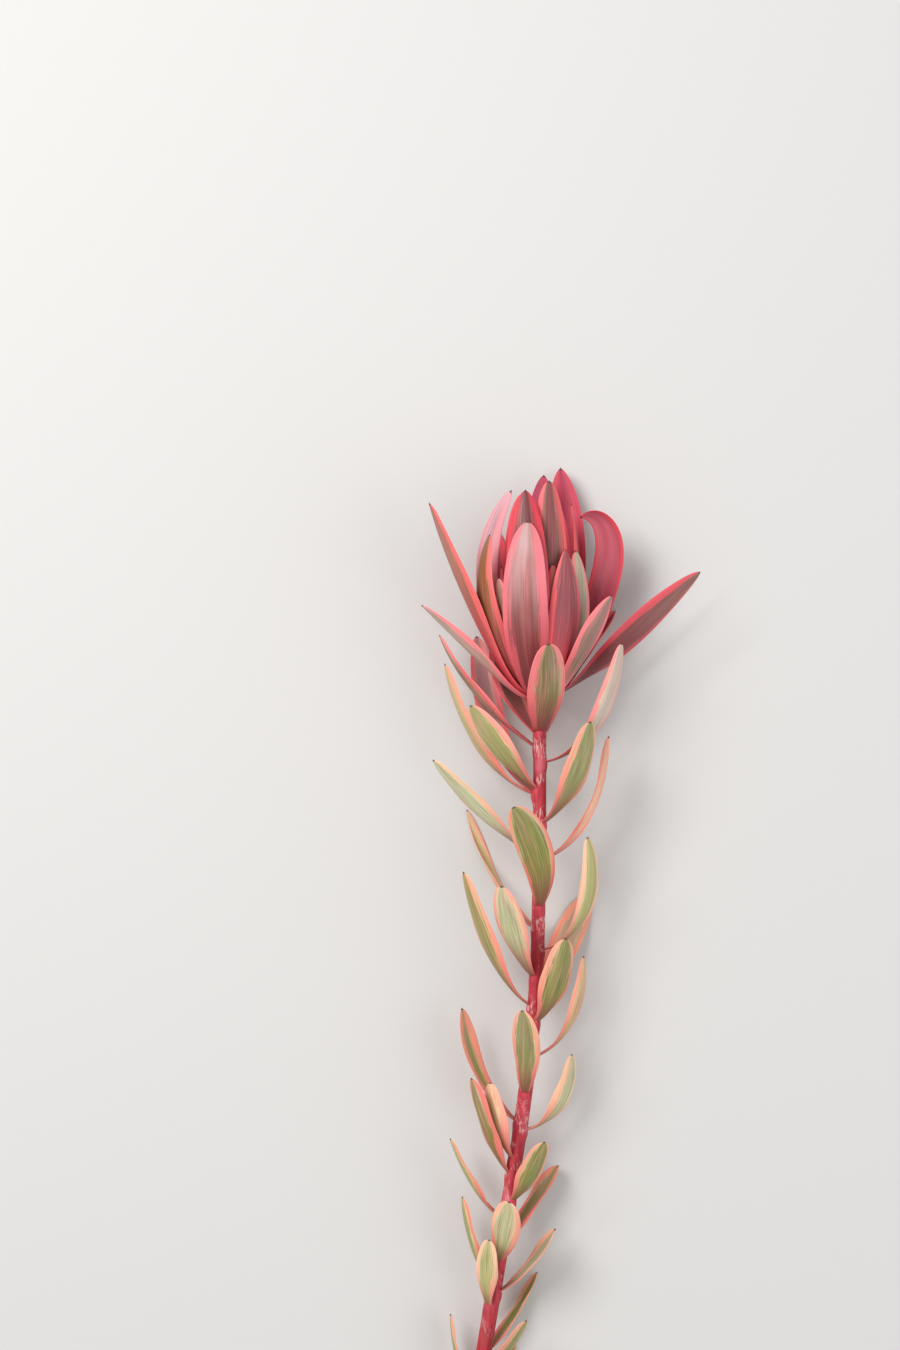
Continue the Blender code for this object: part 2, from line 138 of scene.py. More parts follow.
LEAF_HABITS = {
    0: habit(-135, 50, 14, 36, down=16, flare=62),
    1: habit(10, 56, 17, 43, down=15, sweep=-9, neck=0.42, widest=0.5, twist=6),
    2: habit(-108, 70, 13, 50, down=22, flare=62, twist=26, tuck=28),
    3: habit(75, 70, 12, -12, down=28, flare=84, settle=0.58, tuck=0, twist=-24),
    4: habit(-62, 53, 15, 44, down=41, twist=25),
    5: habit(-98, 76, 12, 23, down=43, flare=76, settle=0.35, tuck=14, twist=30),
    6: habit(57, 56, 15, 15, down=56, flare=62, settle=0.4, twist=-18),
    7: habit(-84, 65, 14, 50, down=71, flare=62, twist=26, tuck=14),
    8: habit(98, 68, 12, -16, down=72, flare=76, settle=0.58, tuck=0, twist=4),
    9: habit(8, 61, 16, 30, down=94, sweep=-34),
    10: habit(-138, 71, 11, 40, tuck=22, twist=25, flare=74, settle=0.32),
    11: habit(80, 63, 11.5, -21, down=113, flare=80, settle=0.55, twist=-34, neck=0.16, widest=0.64),
    12: habit(-44, 54, 14.5, 34, down=126, twist=12, sweep=8),
    13: dict(azimuth=148, length=60, lean=46),
    14: habit(45, 44.5, 17, 20, down=146, flare=62, tuck=26, twist=-8),
    15: habit(-72, 72, 14.5, 25, down=139, twist=12, flare=64, settle=0.25),
    16: habit(92, 56, 10.5, -4, down=162, flare=70, settle=0.45, twist=-32),
    17: habit(-7, 49.5, 13.5, 28, down=179, sweep=-10),
    18: habit(-102, 60, 12, 28, down=192, flare=70, settle=0.34),
    19: habit(80, 46, 11.5, 2, down=195, flare=78, settle=0.45, twist=-34, tuck=24),
    20: habit(-52, 41, 11, 32, down=209, sweep=-8, twist=16, tuck=26),
    21: dict(azimuth=-66, lean=31, length=52, twist=12, sweep=0),
    22: habit(42, 37, 13, 26, down=228, twist=-10),
    23: dict(lean=38, twist=16, flare=70, settle=0.26, width=11),
    25: habit(-5, 39, 14, 30, down=256),
    26: dict(azimuth=-90, twist=18),
    27: habit(80, 42, 12, 34, down=270, flare=64),
    28: habit(-34, 38, 11, 20, down=277),
    34: habit(-133, 84, 12.5, 14, down=43, flare=72, settle=0.3, tuck=8, twist=-28, sweep=0),
}
print("leaves with habits of their own:", len(LEAF_HABITS))


# %% The rule for a leaf
def leaf_by_rule(number):
    """What leaf number would be if it only followed the spiral, with a little seeded variety."""
    chance = random.Random(SEED + number)
    share = number / (LEAF_COUNT - 1)
    azimuth = (DIVERGENCE * (1 - number) + 180.0) % 360.0 - 180.0
    if abs(azimuth) > LOWEST_AZIMUTH:
        azimuth = PUSHED_AZIMUTH if number % 16 == 13 else -PUSHED_AZIMUTH
    return dict(
        azimuth=azimuth + chance.uniform(-6, 6),
        down=FIRST_LEAF + LEAF_PITCH * (number - 1),
        length=(63.0 - 25.0 * share) * chance.uniform(0.94, 1.06),
        width=(15.0 - 3.0 * share) * chance.uniform(0.94, 1.06),
        flare=58.0,
        lean=30.0 + chance.uniform(-5, 7),
        settle=0.16,
        tuck=14.0 + chance.uniform(-6, 6),
        hook=0.0,
        sweep=chance.uniform(-7, 7),
        twist=chance.uniform(-22, 22),
        cup=0.26,
        root=0.6,
        neck=0.24,
        widest=0.6,
        tip=0.5,
        level=0.5 * LEAF_THICKNESS,
    )


leaves = [leaf_by_rule(n) | LEAF_HABITS.get(n, {}) for n in range(LEAF_COUNT + SCAR_COUNT)]
print("leaves:", LEAF_COUNT, "and bare scars:", SCAR_COUNT)

# %% The bracts' habits
BRACT_COUNT = 26
BRACT_THICKNESS = 1.0
BRACT_BAND_BOTTOM = 0.8
BRACT_BAND_TOP = -4.0
FLOOR_STACK = 1.2

BRACT_HABITS = {
    1: habit(136, 64, 13, 45, tuck=0),
    2: habit(-86, 67, 13, 46, tuck=0, settle=0.1, twist=10),
    3: habit(60, 59, 13.5, 32, flare=76, tuck=4, twist=-12, cup=0.26),
    4: habit(172, 88, 19, 27, tuck=32),
    5: habit(-52, 60, 11, 23, flare=61, tuck=16),
    6: habit(95, 91, 16, 48, flare=74, tuck=2, twist=-45, cup=0.18),
    7: habit(-146, 90, 20, 28, flare=84, twist=8, cup=0.24),
    8: habit(-18, 89, 20.5, 23, flare=86, tuck=43, sweep=2, tip=0.5),
    9: habit(114, 104, 15, 20, flare=70, tuck=-6, hook=162, twist=44, cup=0.3),
    10: habit(-79, 102, 20, 28, flare=86, tuck=12, cup=0.3, settle=0.08, widest=0.6),
    11: habit(35, 73, 18, 21, flare=78, tuck=36, neck=0.22, widest=0.46, tip=0.75, sweep=-3),
    12: habit(-168, 104, 20, 22, twist=2, cup=0.3),
    13: habit(-64, 82, 15, 32, flare=68, tuck=60, twist=6, sweep=-3, cup=0.3),
    14: habit(65, 71, 14, 17, tuck=34, sweep=1, twist=-26),
    15: habit(-108, 104, 14, 20, tuck=62, twist=56, cup=0.26, tip=0.5),
    16: habit(-13, 99, 19, 15, tuck=34, cup=0.3),
    17: habit(150, 114, 20, 17, flare=78, tuck=34, twist=5, cup=0.3),
    18: habit(-90, 62, 13, 15),
    19: habit(13, 63, 9, 19, tuck=24),
    20: habit(-178, 106, 16, 8),
    21: habit(-45, 76, 14, 10, flare=67),
    22: habit(86, 90, 13, 6),
    23: habit(-135, 80, 14, 8),
    24: habit(17, 98.5, 16, 6, tuck=12, tip=0.48, settle=0.105),
    25: habit(132, 88, 13, 6),
    26: habit(-100, 76, 12, 6),
}
print("bracts with habits of their own:", len(BRACT_HABITS))


# %% The rule for a bract
def bract_by_rule(number):
    """What bract number would be if it only followed the spiral, with a little seeded variety."""
    chance = random.Random(SEED + 100 + number)
    share = number / BRACT_COUNT
    return dict(
        azimuth=(DIVERGENCE * number + 180.0) % 360.0 - 180.0 + chance.uniform(-5, 5),
        down=BRACT_BAND_BOTTOM + (BRACT_BAND_TOP - BRACT_BAND_BOTTOM) * share,
        length=(98.0 - 20.0 * share) * chance.uniform(0.96, 1.04),
        width=(19.0 - 6.0 * share) * chance.uniform(0.95, 1.05),
        flare=84.0 - 16.0 * share,
        lean=18.0 - 14.0 * share,
        settle=0.12,
        tuck=40.0 - 26.0 * share,
        hook=0.0,
        sweep=chance.uniform(-4, 4),
        twist=chance.uniform(-8, 8),
        cup=0.36,
        root=2.2,
        neck=0.42,
        widest=0.52,
        tip=0.58,
        level=0.5 * BRACT_THICKNESS + FLOOR_STACK * ((number + 2) % 3),
    )


bracts = [bract_by_rule(n) | BRACT_HABITS.get(n, {}) for n in range(1, BRACT_COUNT + 1)]
print("bracts:", len(bracts), "from", min(b["length"] for b in bracts), "mm long")

# %% [markdown]
# ## Midribs
#
# A blade follows its midrib. The midrib is walked out in small steps: at each step the heading turns
# from its flare to its lean, and a second direction, across the blade, is carried along and twisted.
# Those two directions are all that a sweep needs later to lay the blade's surface on either side.

# %% The midrib of a blade, and its outline
PATH_STEPS = 60
SWELL_POWER = 1.35
TAPER_POWER = 2.5
TWISTED_BY = 0.4


def half_width_share(t, neck, widest, tip):
    """The blade's outline: its half width at share t of its length, where its widest part is 1."""
    if t <= widest:
        return neck + (1.0 - neck) * math.sin(0.5 * math.pi * t / widest) ** SWELL_POWER
    past = (t - widest) / (1.0 - widest)
    return max(0.0, 1.0 - past**TAPER_POWER) ** tip


def midrib(blade):
    """The blade's midrib as points, with the direction across the blade at each."""
    along, up, right = axis_frame(blade["down"])
    turn = math.radians(blade["azimuth"])
    out = math.cos(turn) * up + math.sin(turn) * right
    around = math.cos(turn) * right - math.sin(turn) * up
    point = axis_point(blade["down"]) + out * blade["root"]
    step = blade["length"] / PATH_STEPS
    points, across = [], []
    for i in range(PATH_STEPS + 1):
        t = i / PATH_STEPS
        angle = blade["lean"] + (blade["flare"] - blade["lean"]) * math.exp(-t / blade["settle"])
        angle = math.radians(angle - blade["tuck"] * t**2 - blade["hook"] * t**6)
        veer = math.tan(math.radians(blade["sweep"]) * t)
        heading = math.cos(angle) * along + math.sin(angle) * out + veer * around
        heading /= np.linalg.norm(heading)
        flat = around - heading * around.dot(heading)
        flat /= np.linalg.norm(flat)
        face = np.cross(heading, flat)
        eased = min(t / TWISTED_BY, 1.0)
        twist = math.radians(blade["twist"]) * eased * eased * (3.0 - 2.0 * eased)
        points.append(point.copy())
        across.append(math.cos(twist) * flat + math.sin(twist) * face)
        point = point + heading * step
    return np.array(points), np.array(across)


print("longest midrib in mm:", max(blade["length"] for blade in leaves + bracts))

# %% [markdown]
# ## One way to add nodes
#
# Geometry trees and shader trees are both built below in the script. A long list of node and link calls
# is hard to read, so two small classes help. A maker adds a node from its type, its settings and its
# inputs. A wire is a node's output that can stand in a sum, so maths reads as maths.


# %% A wire that can stand in a sum
def sum_of(operation, turned=False):
    """A method that adds one Math node. turned is for a number that stands before the wire."""

    def method(self, *others):
        values = (self, *others)
        return self.maker.maths(operation, *(values[::-1] if turned else values))

    return method


class Wire:
    """A node's output. Adding, multiplying and so on put Math nodes in its tree."""

    def __init__(self, maker, socket):
        self.maker = maker
        self.socket = socket

    __add__ = __radd__ = sum_of("ADD")
    __mul__ = __rmul__ = sum_of("MULTIPLY")
    __sub__ = sum_of("SUBTRACT")
    __rsub__ = sum_of("SUBTRACT", turned=True)
    __truediv__ = sum_of("DIVIDE")
    __pow__ = sum_of("POWER")
    __abs__ = sum_of("ABSOLUTE")

    def ramp(self, start, end):
        """0 below start and 1 above end, with an eased rise between. start may be above end."""
        inputs = {"Value": self, "From Min": start, "From Max": end}
        return self.maker.node("ShaderNodeMapRange", {"interpolation_type": "SMOOTHSTEP"}, inputs)


print("a wire takes + - * / ** and abs, and has a ramp")


# %% A maker that adds nodes
def pick(sockets, key):
    """The socket that key names: a place in the row, a name, or None for the first one in use."""
    if isinstance(key, int):
        return sockets[key]
    return next(s for s in sockets if s.enabled and (key is None or s.name == key))


class Maker:
    """Adds nodes to one tree, for geometry or for a shader."""

    def __init__(self, tree):
        self.tree = tree

    def node(self, kind, settings=None, inputs=None, output=None):
        """Adds a node with its settings first, then its inputs, and returns one output."""
        node = self.tree.nodes.new(kind)
        for name, value in (settings or {}).items():
            setattr(node, name, value)
        for key, value in (inputs or {}).items():
            socket = pick(node.inputs, key)
            for one in value if isinstance(value, list) else [value]:
                if isinstance(one, Wire):
                    self.tree.links.new(one.socket, socket)
                else:
                    socket.default_value = one
        return Wire(self, pick(node.outputs, output)) if node.outputs else None

    def maths(self, operation, *values):
        return self.node("ShaderNodeMath", {"operation": operation}, dict(enumerate(values)))

    def vector(self, operation, *values):
        return self.node("ShaderNodeVectorMath", {"operation": operation}, dict(enumerate(values)))

    def scaled(self, vector, amount):
        """A vector times a number."""
        inputs = {0: vector, "Scale": amount}
        return self.node("ShaderNodeVectorMath", {"operation": "SCALE"}, inputs)

    def joined(self, x, y, z):
        return self.node("ShaderNodeCombineXYZ", None, {"X": x, "Y": y, "Z": z})

    def axis(self, vector, name):
        """The X, Y or Z of a vector."""
        return self.node("ShaderNodeSeparateXYZ", None, {"Vector": vector}, name)


print("nodes come from Maker.node, and Wire adds the sums")

# %% [markdown]
# ## Blades from guide lines
#
# All leaves and bracts repeat one form, and each follows a path, which is work for Geometry Nodes. The
# script lays one guide line for each blade, with the blade's directions, half width and colours stored
# on its points. The tree sweeps a row of points across every guide, places them from those values, lays
# down on the table whatever would reach below it, and gives the sheet an outer and an inner face that
# meet at a sharp rim. Last, it sets the small dark horny point that each blade ends in.


# %% Tree helpers: stored values, the table and copies
def stored(make, name, kind="FLOAT"):
    """Reads a value that is stored on the geometry."""
    return make.node("GeometryNodeInputNamedAttribute", {"data_type": kind}, {"Name": name})


def store(make, geometry, name, value, kind="FLOAT"):
    """Stores a value on the geometry's points."""
    settings = {"data_type": kind, "domain": "POINT"}
    inputs = {"Geometry": geometry, "Name": name, "Value": value}
    return make.node("GeometryNodeStoreNamedAttribute", settings, inputs)


def laid_on_table(make, geometry, ease):
    """Lifts every point to its blade's own level, with an eased bend where the blade comes down."""
    place = make.node("GeometryNodeInputPosition")
    x, y, z = (make.axis(place, name) for name in "XYZ")
    level = stored(make, "level")
    over = z - level
    share = make.node("ShaderNodeClamp", None, {"Value": (over + ease) / (ease * 2.0)})
    height = level + ease * share * share + make.maths("MAXIMUM", over - ease, 0.0)
    inputs = {"Geometry": geometry, "Position": make.joined(x, y, height)}
    return make.node("GeometryNodeSetPosition", None, inputs)


def copies(make, points, thing, direction, size=(1.0, 1.0, 1.0), chosen=True):
    """Sets a copy of a thing on each chosen point, turned to the direction stored there."""
    heading = {"Vector": stored(make, direction, "FLOAT_VECTOR")}
    turn = make.node("FunctionNodeAlignRotationToVector", {"axis": "Z"}, heading)
    inputs = {"Points": points, "Selection": chosen, "Instance": thing, "Rotation": turn, "Scale": size}
    return make.node("GeometryNodeInstanceOnPoints", None, inputs)


print("tree helpers: stored, store, laid_on_table and copies")


# %% The start and end of a tree
def new_tree(name, numbers, whole_numbers=()):
    """An empty geometry tree with inputs for its numbers and its finish, and one output."""
    tree = bpy.data.node_groups.new(name, "GeometryNodeTree")
    tree.is_modifier = True
    sockets = {"Geometry": "Geometry", "Finish": "Material"}
    sockets |= dict.fromkeys(numbers, "Float") | dict.fromkeys(whole_numbers, "Int")
    for label, kind in sockets.items():
        tree.interface.new_socket(label, in_out="INPUT", socket_type="NodeSocket" + kind)
    tree.interface.new_socket("Geometry", in_out="OUTPUT", socket_type="NodeSocketGeometry")
    make = Maker(tree)
    entry = tree.nodes.new("NodeGroupInput")
    given = {socket.name: Wire(make, socket) for socket in entry.outputs if socket.name}
    return tree, make, given


def end_tree(make, geometry, finish, smooth=True):
    """Makes copies real, gives everything its finish and hands it out."""
    geometry = make.node("GeometryNodeRealizeInstances", None, {"Geometry": geometry})
    if smooth:
        geometry = make.node("GeometryNodeSetShadeSmooth", None, {"Geometry": geometry})
    dressed = {"Geometry": geometry, "Material": finish}
    geometry = make.node("GeometryNodeSetMaterial", None, dressed)
    make.node("NodeGroupOutput", None, {"Geometry": geometry})


print("every tree takes a mesh and a finish, and hands out real geometry")

# %% The sheet of a blade
RIPPLE_LAG = 1.9


def blade_sheet(make, given):
    """One thin sheet for each guide, cupped, rippled at its rim and laid on the table."""
    guide = make.node("GeometryNodeMeshToCurve", None, {"Mesh": given["Geometry"]})
    ends = {"Start": (-1.0, 0.0, 0.0), "End": (1.0, 0.0, 0.0)}
    row = make.node("GeometryNodeCurvePrimitiveLine", None, ends)
    row = make.node("GeometryNodeResampleCurve", None, {"Curve": row, "Count": given["Columns"]})
    x = make.axis(make.node("GeometryNodeInputPosition"), "X")
    row = store(make, row, "across", make.maths("SINE", x * (0.5 * math.pi)))
    sheet = make.node("GeometryNodeCurveToMesh", None, {"Curve": guide, "Profile Curve": row})
    across, along, half = (stored(make, name) for name in ("across", "along", "half"))
    side, face, centre = (
        stored(make, name, "FLOAT_VECTOR") for name in ("side", "face", "centre")
    )
    wave = along * given["Ripples"] + stored(make, "phase") + across * RIPPLE_LAG
    wave = make.maths("SINE", wave)
    wave = wave * abs(across) ** 3.0 * along * (1.0 - along) * 4.0 * given["Ripple Height"]
    sunk = wave - stored(make, "cup") * half * across * across
    place = make.vector("ADD", centre, make.scaled(side, across * half))
    place = make.vector("ADD", place, make.scaled(face, sunk))
    sheet = make.node("GeometryNodeSetPosition", None, {"Geometry": sheet, "Position": place})
    return laid_on_table(make, sheet, given["Table Ease"])


print("a ripple lags by", RIPPLE_LAG, "radians from the midrib to the rim")

# %% The tree that makes whole blades
EDGE_ROUNDING = 0.42
TIP_THINNING = 0.35
SEAM = 0.001 * MM
AT_THE_TIP = 0.999


def blade_tree():
    """Guides in, finished blades out."""
    sizes = ("Thickness", "Ripples", "Ripple Height", "Table Ease", "Point Width", "Point Length")
    tree, make, given = new_tree("blades", sizes, ("Columns",))
    sheet = blade_sheet(make, given)
    across, along = stored(make, "across"), stored(make, "along")
    swell = (1.0 - across * across) ** EDGE_ROUNDING * given["Thickness"] * 0.5
    swell = swell * along.ramp(0.0, 0.012) * (1.0 - TIP_THINNING * along ** 3.0)
    offset = make.scaled(make.node("GeometryNodeInputNormal"), swell)
    faces = []
    for outer in (1.0, 0.0):
        side = make.node("GeometryNodeFlipFaces", None, {"Mesh": sheet}) if outer == 0.0 else sheet
        side = make.node("GeometryNodeSetPosition", None, {"Geometry": side, "Offset": offset})
        faces.append(store(make, side, "outer", outer))
    body = make.node("GeometryNodeJoinGeometry", None, {"Geometry": faces})
    seam = {"Geometry": body, "Distance": SEAM}
    body = make.node("GeometryNodeMergeByDistance", None, seam)

    round_bead = {"Segments": 8, "Rings": 6, "Radius": 1.0}
    bead = make.node("GeometryNodeMeshUVSphere", None, round_bead, "Mesh")
    size = make.joined(given["Point Width"], given["Point Width"], given["Point Length"])
    resting = laid_on_table(make, given["Geometry"], given["Table Ease"])
    at_tip = make.maths("GREATER_THAN", along, AT_THE_TIP)
    beads = copies(make, resting, bead, "heading", size, at_tip)
    both = make.node("GeometryNodeJoinGeometry", None, {"Geometry": [body, beads]})
    end_tree(make, both, given["Finish"])
    return tree


sweep = blade_tree()
print("blade tree:", len(sweep.nodes), "nodes")

# %% [markdown]
# ## Guides
#
# A guide is a mesh of points and edges only. Its points crowd towards the tip, where the outline turns
# quickly. Everything that differs from blade to blade is stored here, colours too, so that one tree and
# one material serve them all.

# %% The values on a guide
GUIDE_ROWS = 52
TIP_CROWDING = 1.45


def guide_rows(number, blade):
    """The stored values along one blade's guide."""
    points, across = midrib(blade)
    headings = np.gradient(points, axis=0)
    steps = np.linspace(0.0, 1.0, PATH_STEPS + 1)
    rows = []
    for i in range(GUIDE_ROWS):
        t = 1.0 - (1.0 - i / (GUIDE_ROWS - 1)) ** TIP_CROWDING
        centre, side, heading = (
            np.array([np.interp(t, steps, values[:, axis]) for axis in range(3)])
            for values in (points, across, headings)
        )
        heading /= np.linalg.norm(heading)
        face = np.cross(side, heading)
        face /= np.linalg.norm(face)
        spread = half_width_share(t, blade["neck"], blade["widest"], blade["tip"])
        half = 0.5 * blade["width"] * spread * MM
        row = dict(centre=(centre + HEAD_BASE) * MM, side=side, face=face, heading=heading)
        row |= dict(half=half, spread=spread, along=t, cup=blade["cup"], level=blade["level"] * MM)
        rows.append(row | dict(phase=2.4 * number, number=float(number)) | blade["colours"])
    return rows


print("rows on each guide:", GUIDE_ROWS)


# %% Put things in the scene and grow them
def put(name, data):
    """A new object with this data, in the scene."""
    thing = bpy.data.objects.new(name, data)
    bpy.context.scene.collection.objects.link(thing)
    return thing


def mesh_object(name, points, edges=(), faces=(), **kept):
    """A mesh object with points in metres, and the kept values stored on them by name."""
    mesh = bpy.data.meshes.new(name)
    mesh.from_pydata([tuple(point) for point in points], edges, faces)
    for key, values in kept.items():
        values = np.array(values, dtype=np.float32)
        kind, field = ("FLOAT", "value") if values.ndim == 1 else ("FLOAT_VECTOR", "vector")
        mesh.attributes.new(key, kind, "POINT").data.foreach_set(field, values.ravel())
    return put(name, mesh)


def guide_object(name, blades):
    """One object of guide lines, with a value of each kind stored on every point."""
    rows = [row for number, blade in blades for row in guide_rows(number, blade)]
    edges = [(i, i + 1) for i in range(len(rows) - 1) if (i + 1) % GUIDE_ROWS]
    kept = {key: [row[key] for row in rows] for key in rows[0]}
    return mesh_object(name, kept["centre"], edges, **kept)


def grow(thing, tree, values):
    """Runs a tree on the object, keeps the result as a plain mesh and drops the modifier."""
    modifier = thing.modifiers.new("grow", "NODES")
    modifier.node_group = tree
    for socket in tree.interface.items_tree:
        if socket.in_out == "INPUT" and socket.name in values:
            modifier[socket.identifier] = values[socket.name]
    graph = bpy.context.evaluated_depsgraph_get()
    finished = bpy.data.meshes.new_from_object(thing.evaluated_get(graph))
    thing.modifiers.remove(modifier)
    thing.data = finished
    finished.name = thing.name
    return thing


print("grow keeps a tree's result as a plain mesh")

# %% [markdown]
# ## Colours of each blade
#
# On the real stem the colour shifts with age and light. Low leaves are green with a peach rim, upper
# ones greyer with a coral rim, and the bracts are coral, crimson and magenta over a brownish middle.
# Each blade gets four colours: its middle, its rim, its root and its inner face. It also gets amounts:
# the rim's width, how far the root's colour reaches, how much pale cream runs beside the rim, and how
# much waxy bloom and painted pale highlight there is. In the tables, (OLIVE, CREAM, 0.4) is olive with
# four tenths of cream.

# %% Named colours
def linear(code):
    """A colour written as RRGGBB, as the light values that a shader works in."""
    parts = [int(code[i : i + 2], 16) / 255.0 for i in (0, 2, 4)]
    return [v / 12.92 if v <= 0.04045 else ((v + 0.055) / 1.055) ** 2.4 for v in parts]


OLIVE = linear("857E34")
GREEN = linear("829040")
PALE_GREEN = linear("B0B572")
GREY_GREEN = linear("96967A")
MINT = linear("DAE0C4")
CREAM = linear("F6E2B2")
PEACH = linear("F9B698")
SALMON = linear("F2846E")
CORAL = linear("F4646C")
SCARLET = linear("EC4A5A")
PINK = linear("FF8692")
LAVENDER = linear("D0A0AC")
MAGENTA = linear("BE4868")
CRIMSON = linear("A02238")
MAROON = linear("5E202A")
ROSE = linear("A2605A")
MAUVE = linear("926A62")
RUST = linear("98502E")
print("leaf green as light values:", [round(value, 3) for value in GREEN])

# %% The table of leaf colours
def look(middle, rim, **more):
    """A blade's middle and rim colours, and what else is its own."""
    return dict(middle=middle, rim=rim, **more)


LEAF_COLOURS = {
    0: look(ROSE, (PINK, SCARLET, 0.4), inner=(MAROON, MAUVE, 0.4)),
    1: look((GREEN, MAUVE, 0.45), (SALMON, PINK, 0.6), rim_width=0.36, cream=0.4),
    2: look((OLIVE, MAUVE, 0.6), (CORAL, PINK, 0.5), bloom=0.2),
    3: look((MINT, LAVENDER, 0.35), (PEACH, PINK, 0.7), rim_width=0.28),
    4: look((GREEN, PALE_GREEN, 0.7), (PEACH, PINK, 0.3), rim_width=0.28, cream=0.9),
    5: look((OLIVE, CREAM, 0.4), (SALMON, PEACH, 0.5), inner=(OLIVE, CREAM, 0.3)),
    6: look((GREEN, MINT, 0.15), (PEACH, SALMON, 0.3), rim_width=0.27, bloom=0.1),
    7: look((PALE_GREEN, MINT, 0.6), (PEACH, CREAM, 0.35), rim_width=0.28, bloom=0.0),
    8: look((MINT, PEACH, 0.5), (PEACH, SALMON, 0.3), inner=(MINT, PEACH, 0.6)),
    9: look(GREEN, (SALMON, PEACH, 0.3), rim_width=0.23, cream=0.6),
    10: look((OLIVE, CREAM, 0.4), (SALMON, PEACH, 0.5), inner=(OLIVE, CREAM, 0.5)),
    11: look(PALE_GREEN, (PEACH, CREAM, 0.3)),
    12: look((PALE_GREEN, MINT, 0.4), (PEACH, PINK, 0.3), rim_width=0.33, cream=1.0),
    13: look(GREY_GREEN, (SALMON, PEACH, 0.5), inner=(GREY_GREEN, PEACH, 0.3)),
    14: look(GREEN, (SALMON, PEACH, 0.6), rim_width=0.28, cream=0.7),
    15: look((OLIVE, PALE_GREEN, 0.4), (SALMON, PEACH, 0.4), inner=(OLIVE, PALE_GREEN, 0.3)),
    16: look((PALE_GREEN, PEACH, 0.5), (SALMON, PEACH, 0.5), inner=(PALE_GREEN, PEACH, 0.5)),
    17: look((GREEN, GREY_GREEN, 0.3), (SALMON, PEACH, 0.6), rim_width=0.25),
    18: look((OLIVE, PALE_GREEN, 0.2), (SALMON, PEACH, 0.4), rim_width=0.52),
    19: look((PALE_GREEN, MINT, 0.4), (PEACH, CREAM, 0.2)),
    20: look((PALE_GREEN, PEACH, 0.4), (PEACH, PINK, 0.2), rim_width=0.55, cream=1.0),
    21: look(OLIVE, (SALMON, CORAL, 0.3), inner=(OLIVE, GREEN, 0.5)),
    22: look(GREEN, (SALMON, PEACH, 0.7), rim_width=0.28),
    24: look((OLIVE, MAUVE, 0.4), (SALMON, CORAL, 0.3)),
    25: look((PALE_GREEN, MINT, 0.3), (SALMON, PEACH, 0.7), rim_width=0.34),
    27: look((GREY_GREEN, MINT, 0.4), PEACH),
    28: look(PALE_GREEN, (PEACH, CREAM, 0.3)),
    34: look(GREY_GREEN, PINK, inner=(MAUVE, LAVENDER, 0.6), root_reach=0.4),
}
print("leaves with colours of their own:", len(LEAF_COLOURS))


# %% Leaf colours, by rule or from the table
def between(first, second, share):
    """A colour part of the way from one to another."""
    return [a + (b - a) * share for a, b in zip(first, second)]


def tint(value):
    """A colour or amount as it is, or where value is (first, second, share) the colour between."""
    if not isinstance(value, tuple):
        return value
    first, second, share = value
    return between(tint(first), tint(second), share)


def leaf_colours(number):
    """A leaf's colours by its place on the stem, or its own where it has them."""
    chance = random.Random(SEED + 300 + number)
    share = number / (LEAF_COUNT - 1)
    colours = dict(
        middle=between(GREEN, PALE_GREEN, chance.uniform(0.0, 0.9)),
        rim=between(SALMON, PEACH, chance.uniform(0.0, 0.7)),
        root=between(between(CRIMSON, MAUVE, 0.55), OLIVE, 0.35 * share),
        cream=0.4 + 0.5 * chance.random(),
        bloom=0.1 + 0.3 * chance.random(),
        rim_width=0.31 + 0.08 * chance.random(),
        root_reach=0.56 - 0.1 * share,
    )
    colours |= {key: tint(value) for key, value in LEAF_COLOURS.get(number, {}).items()}
    return dict(inner=between(colours["middle"], OLIVE, 0.4)) | colours


for number, leaf in enumerate(leaves):
    leaf["colours"] = leaf_colours(number)
print("leaf colours set for", len(leaves))

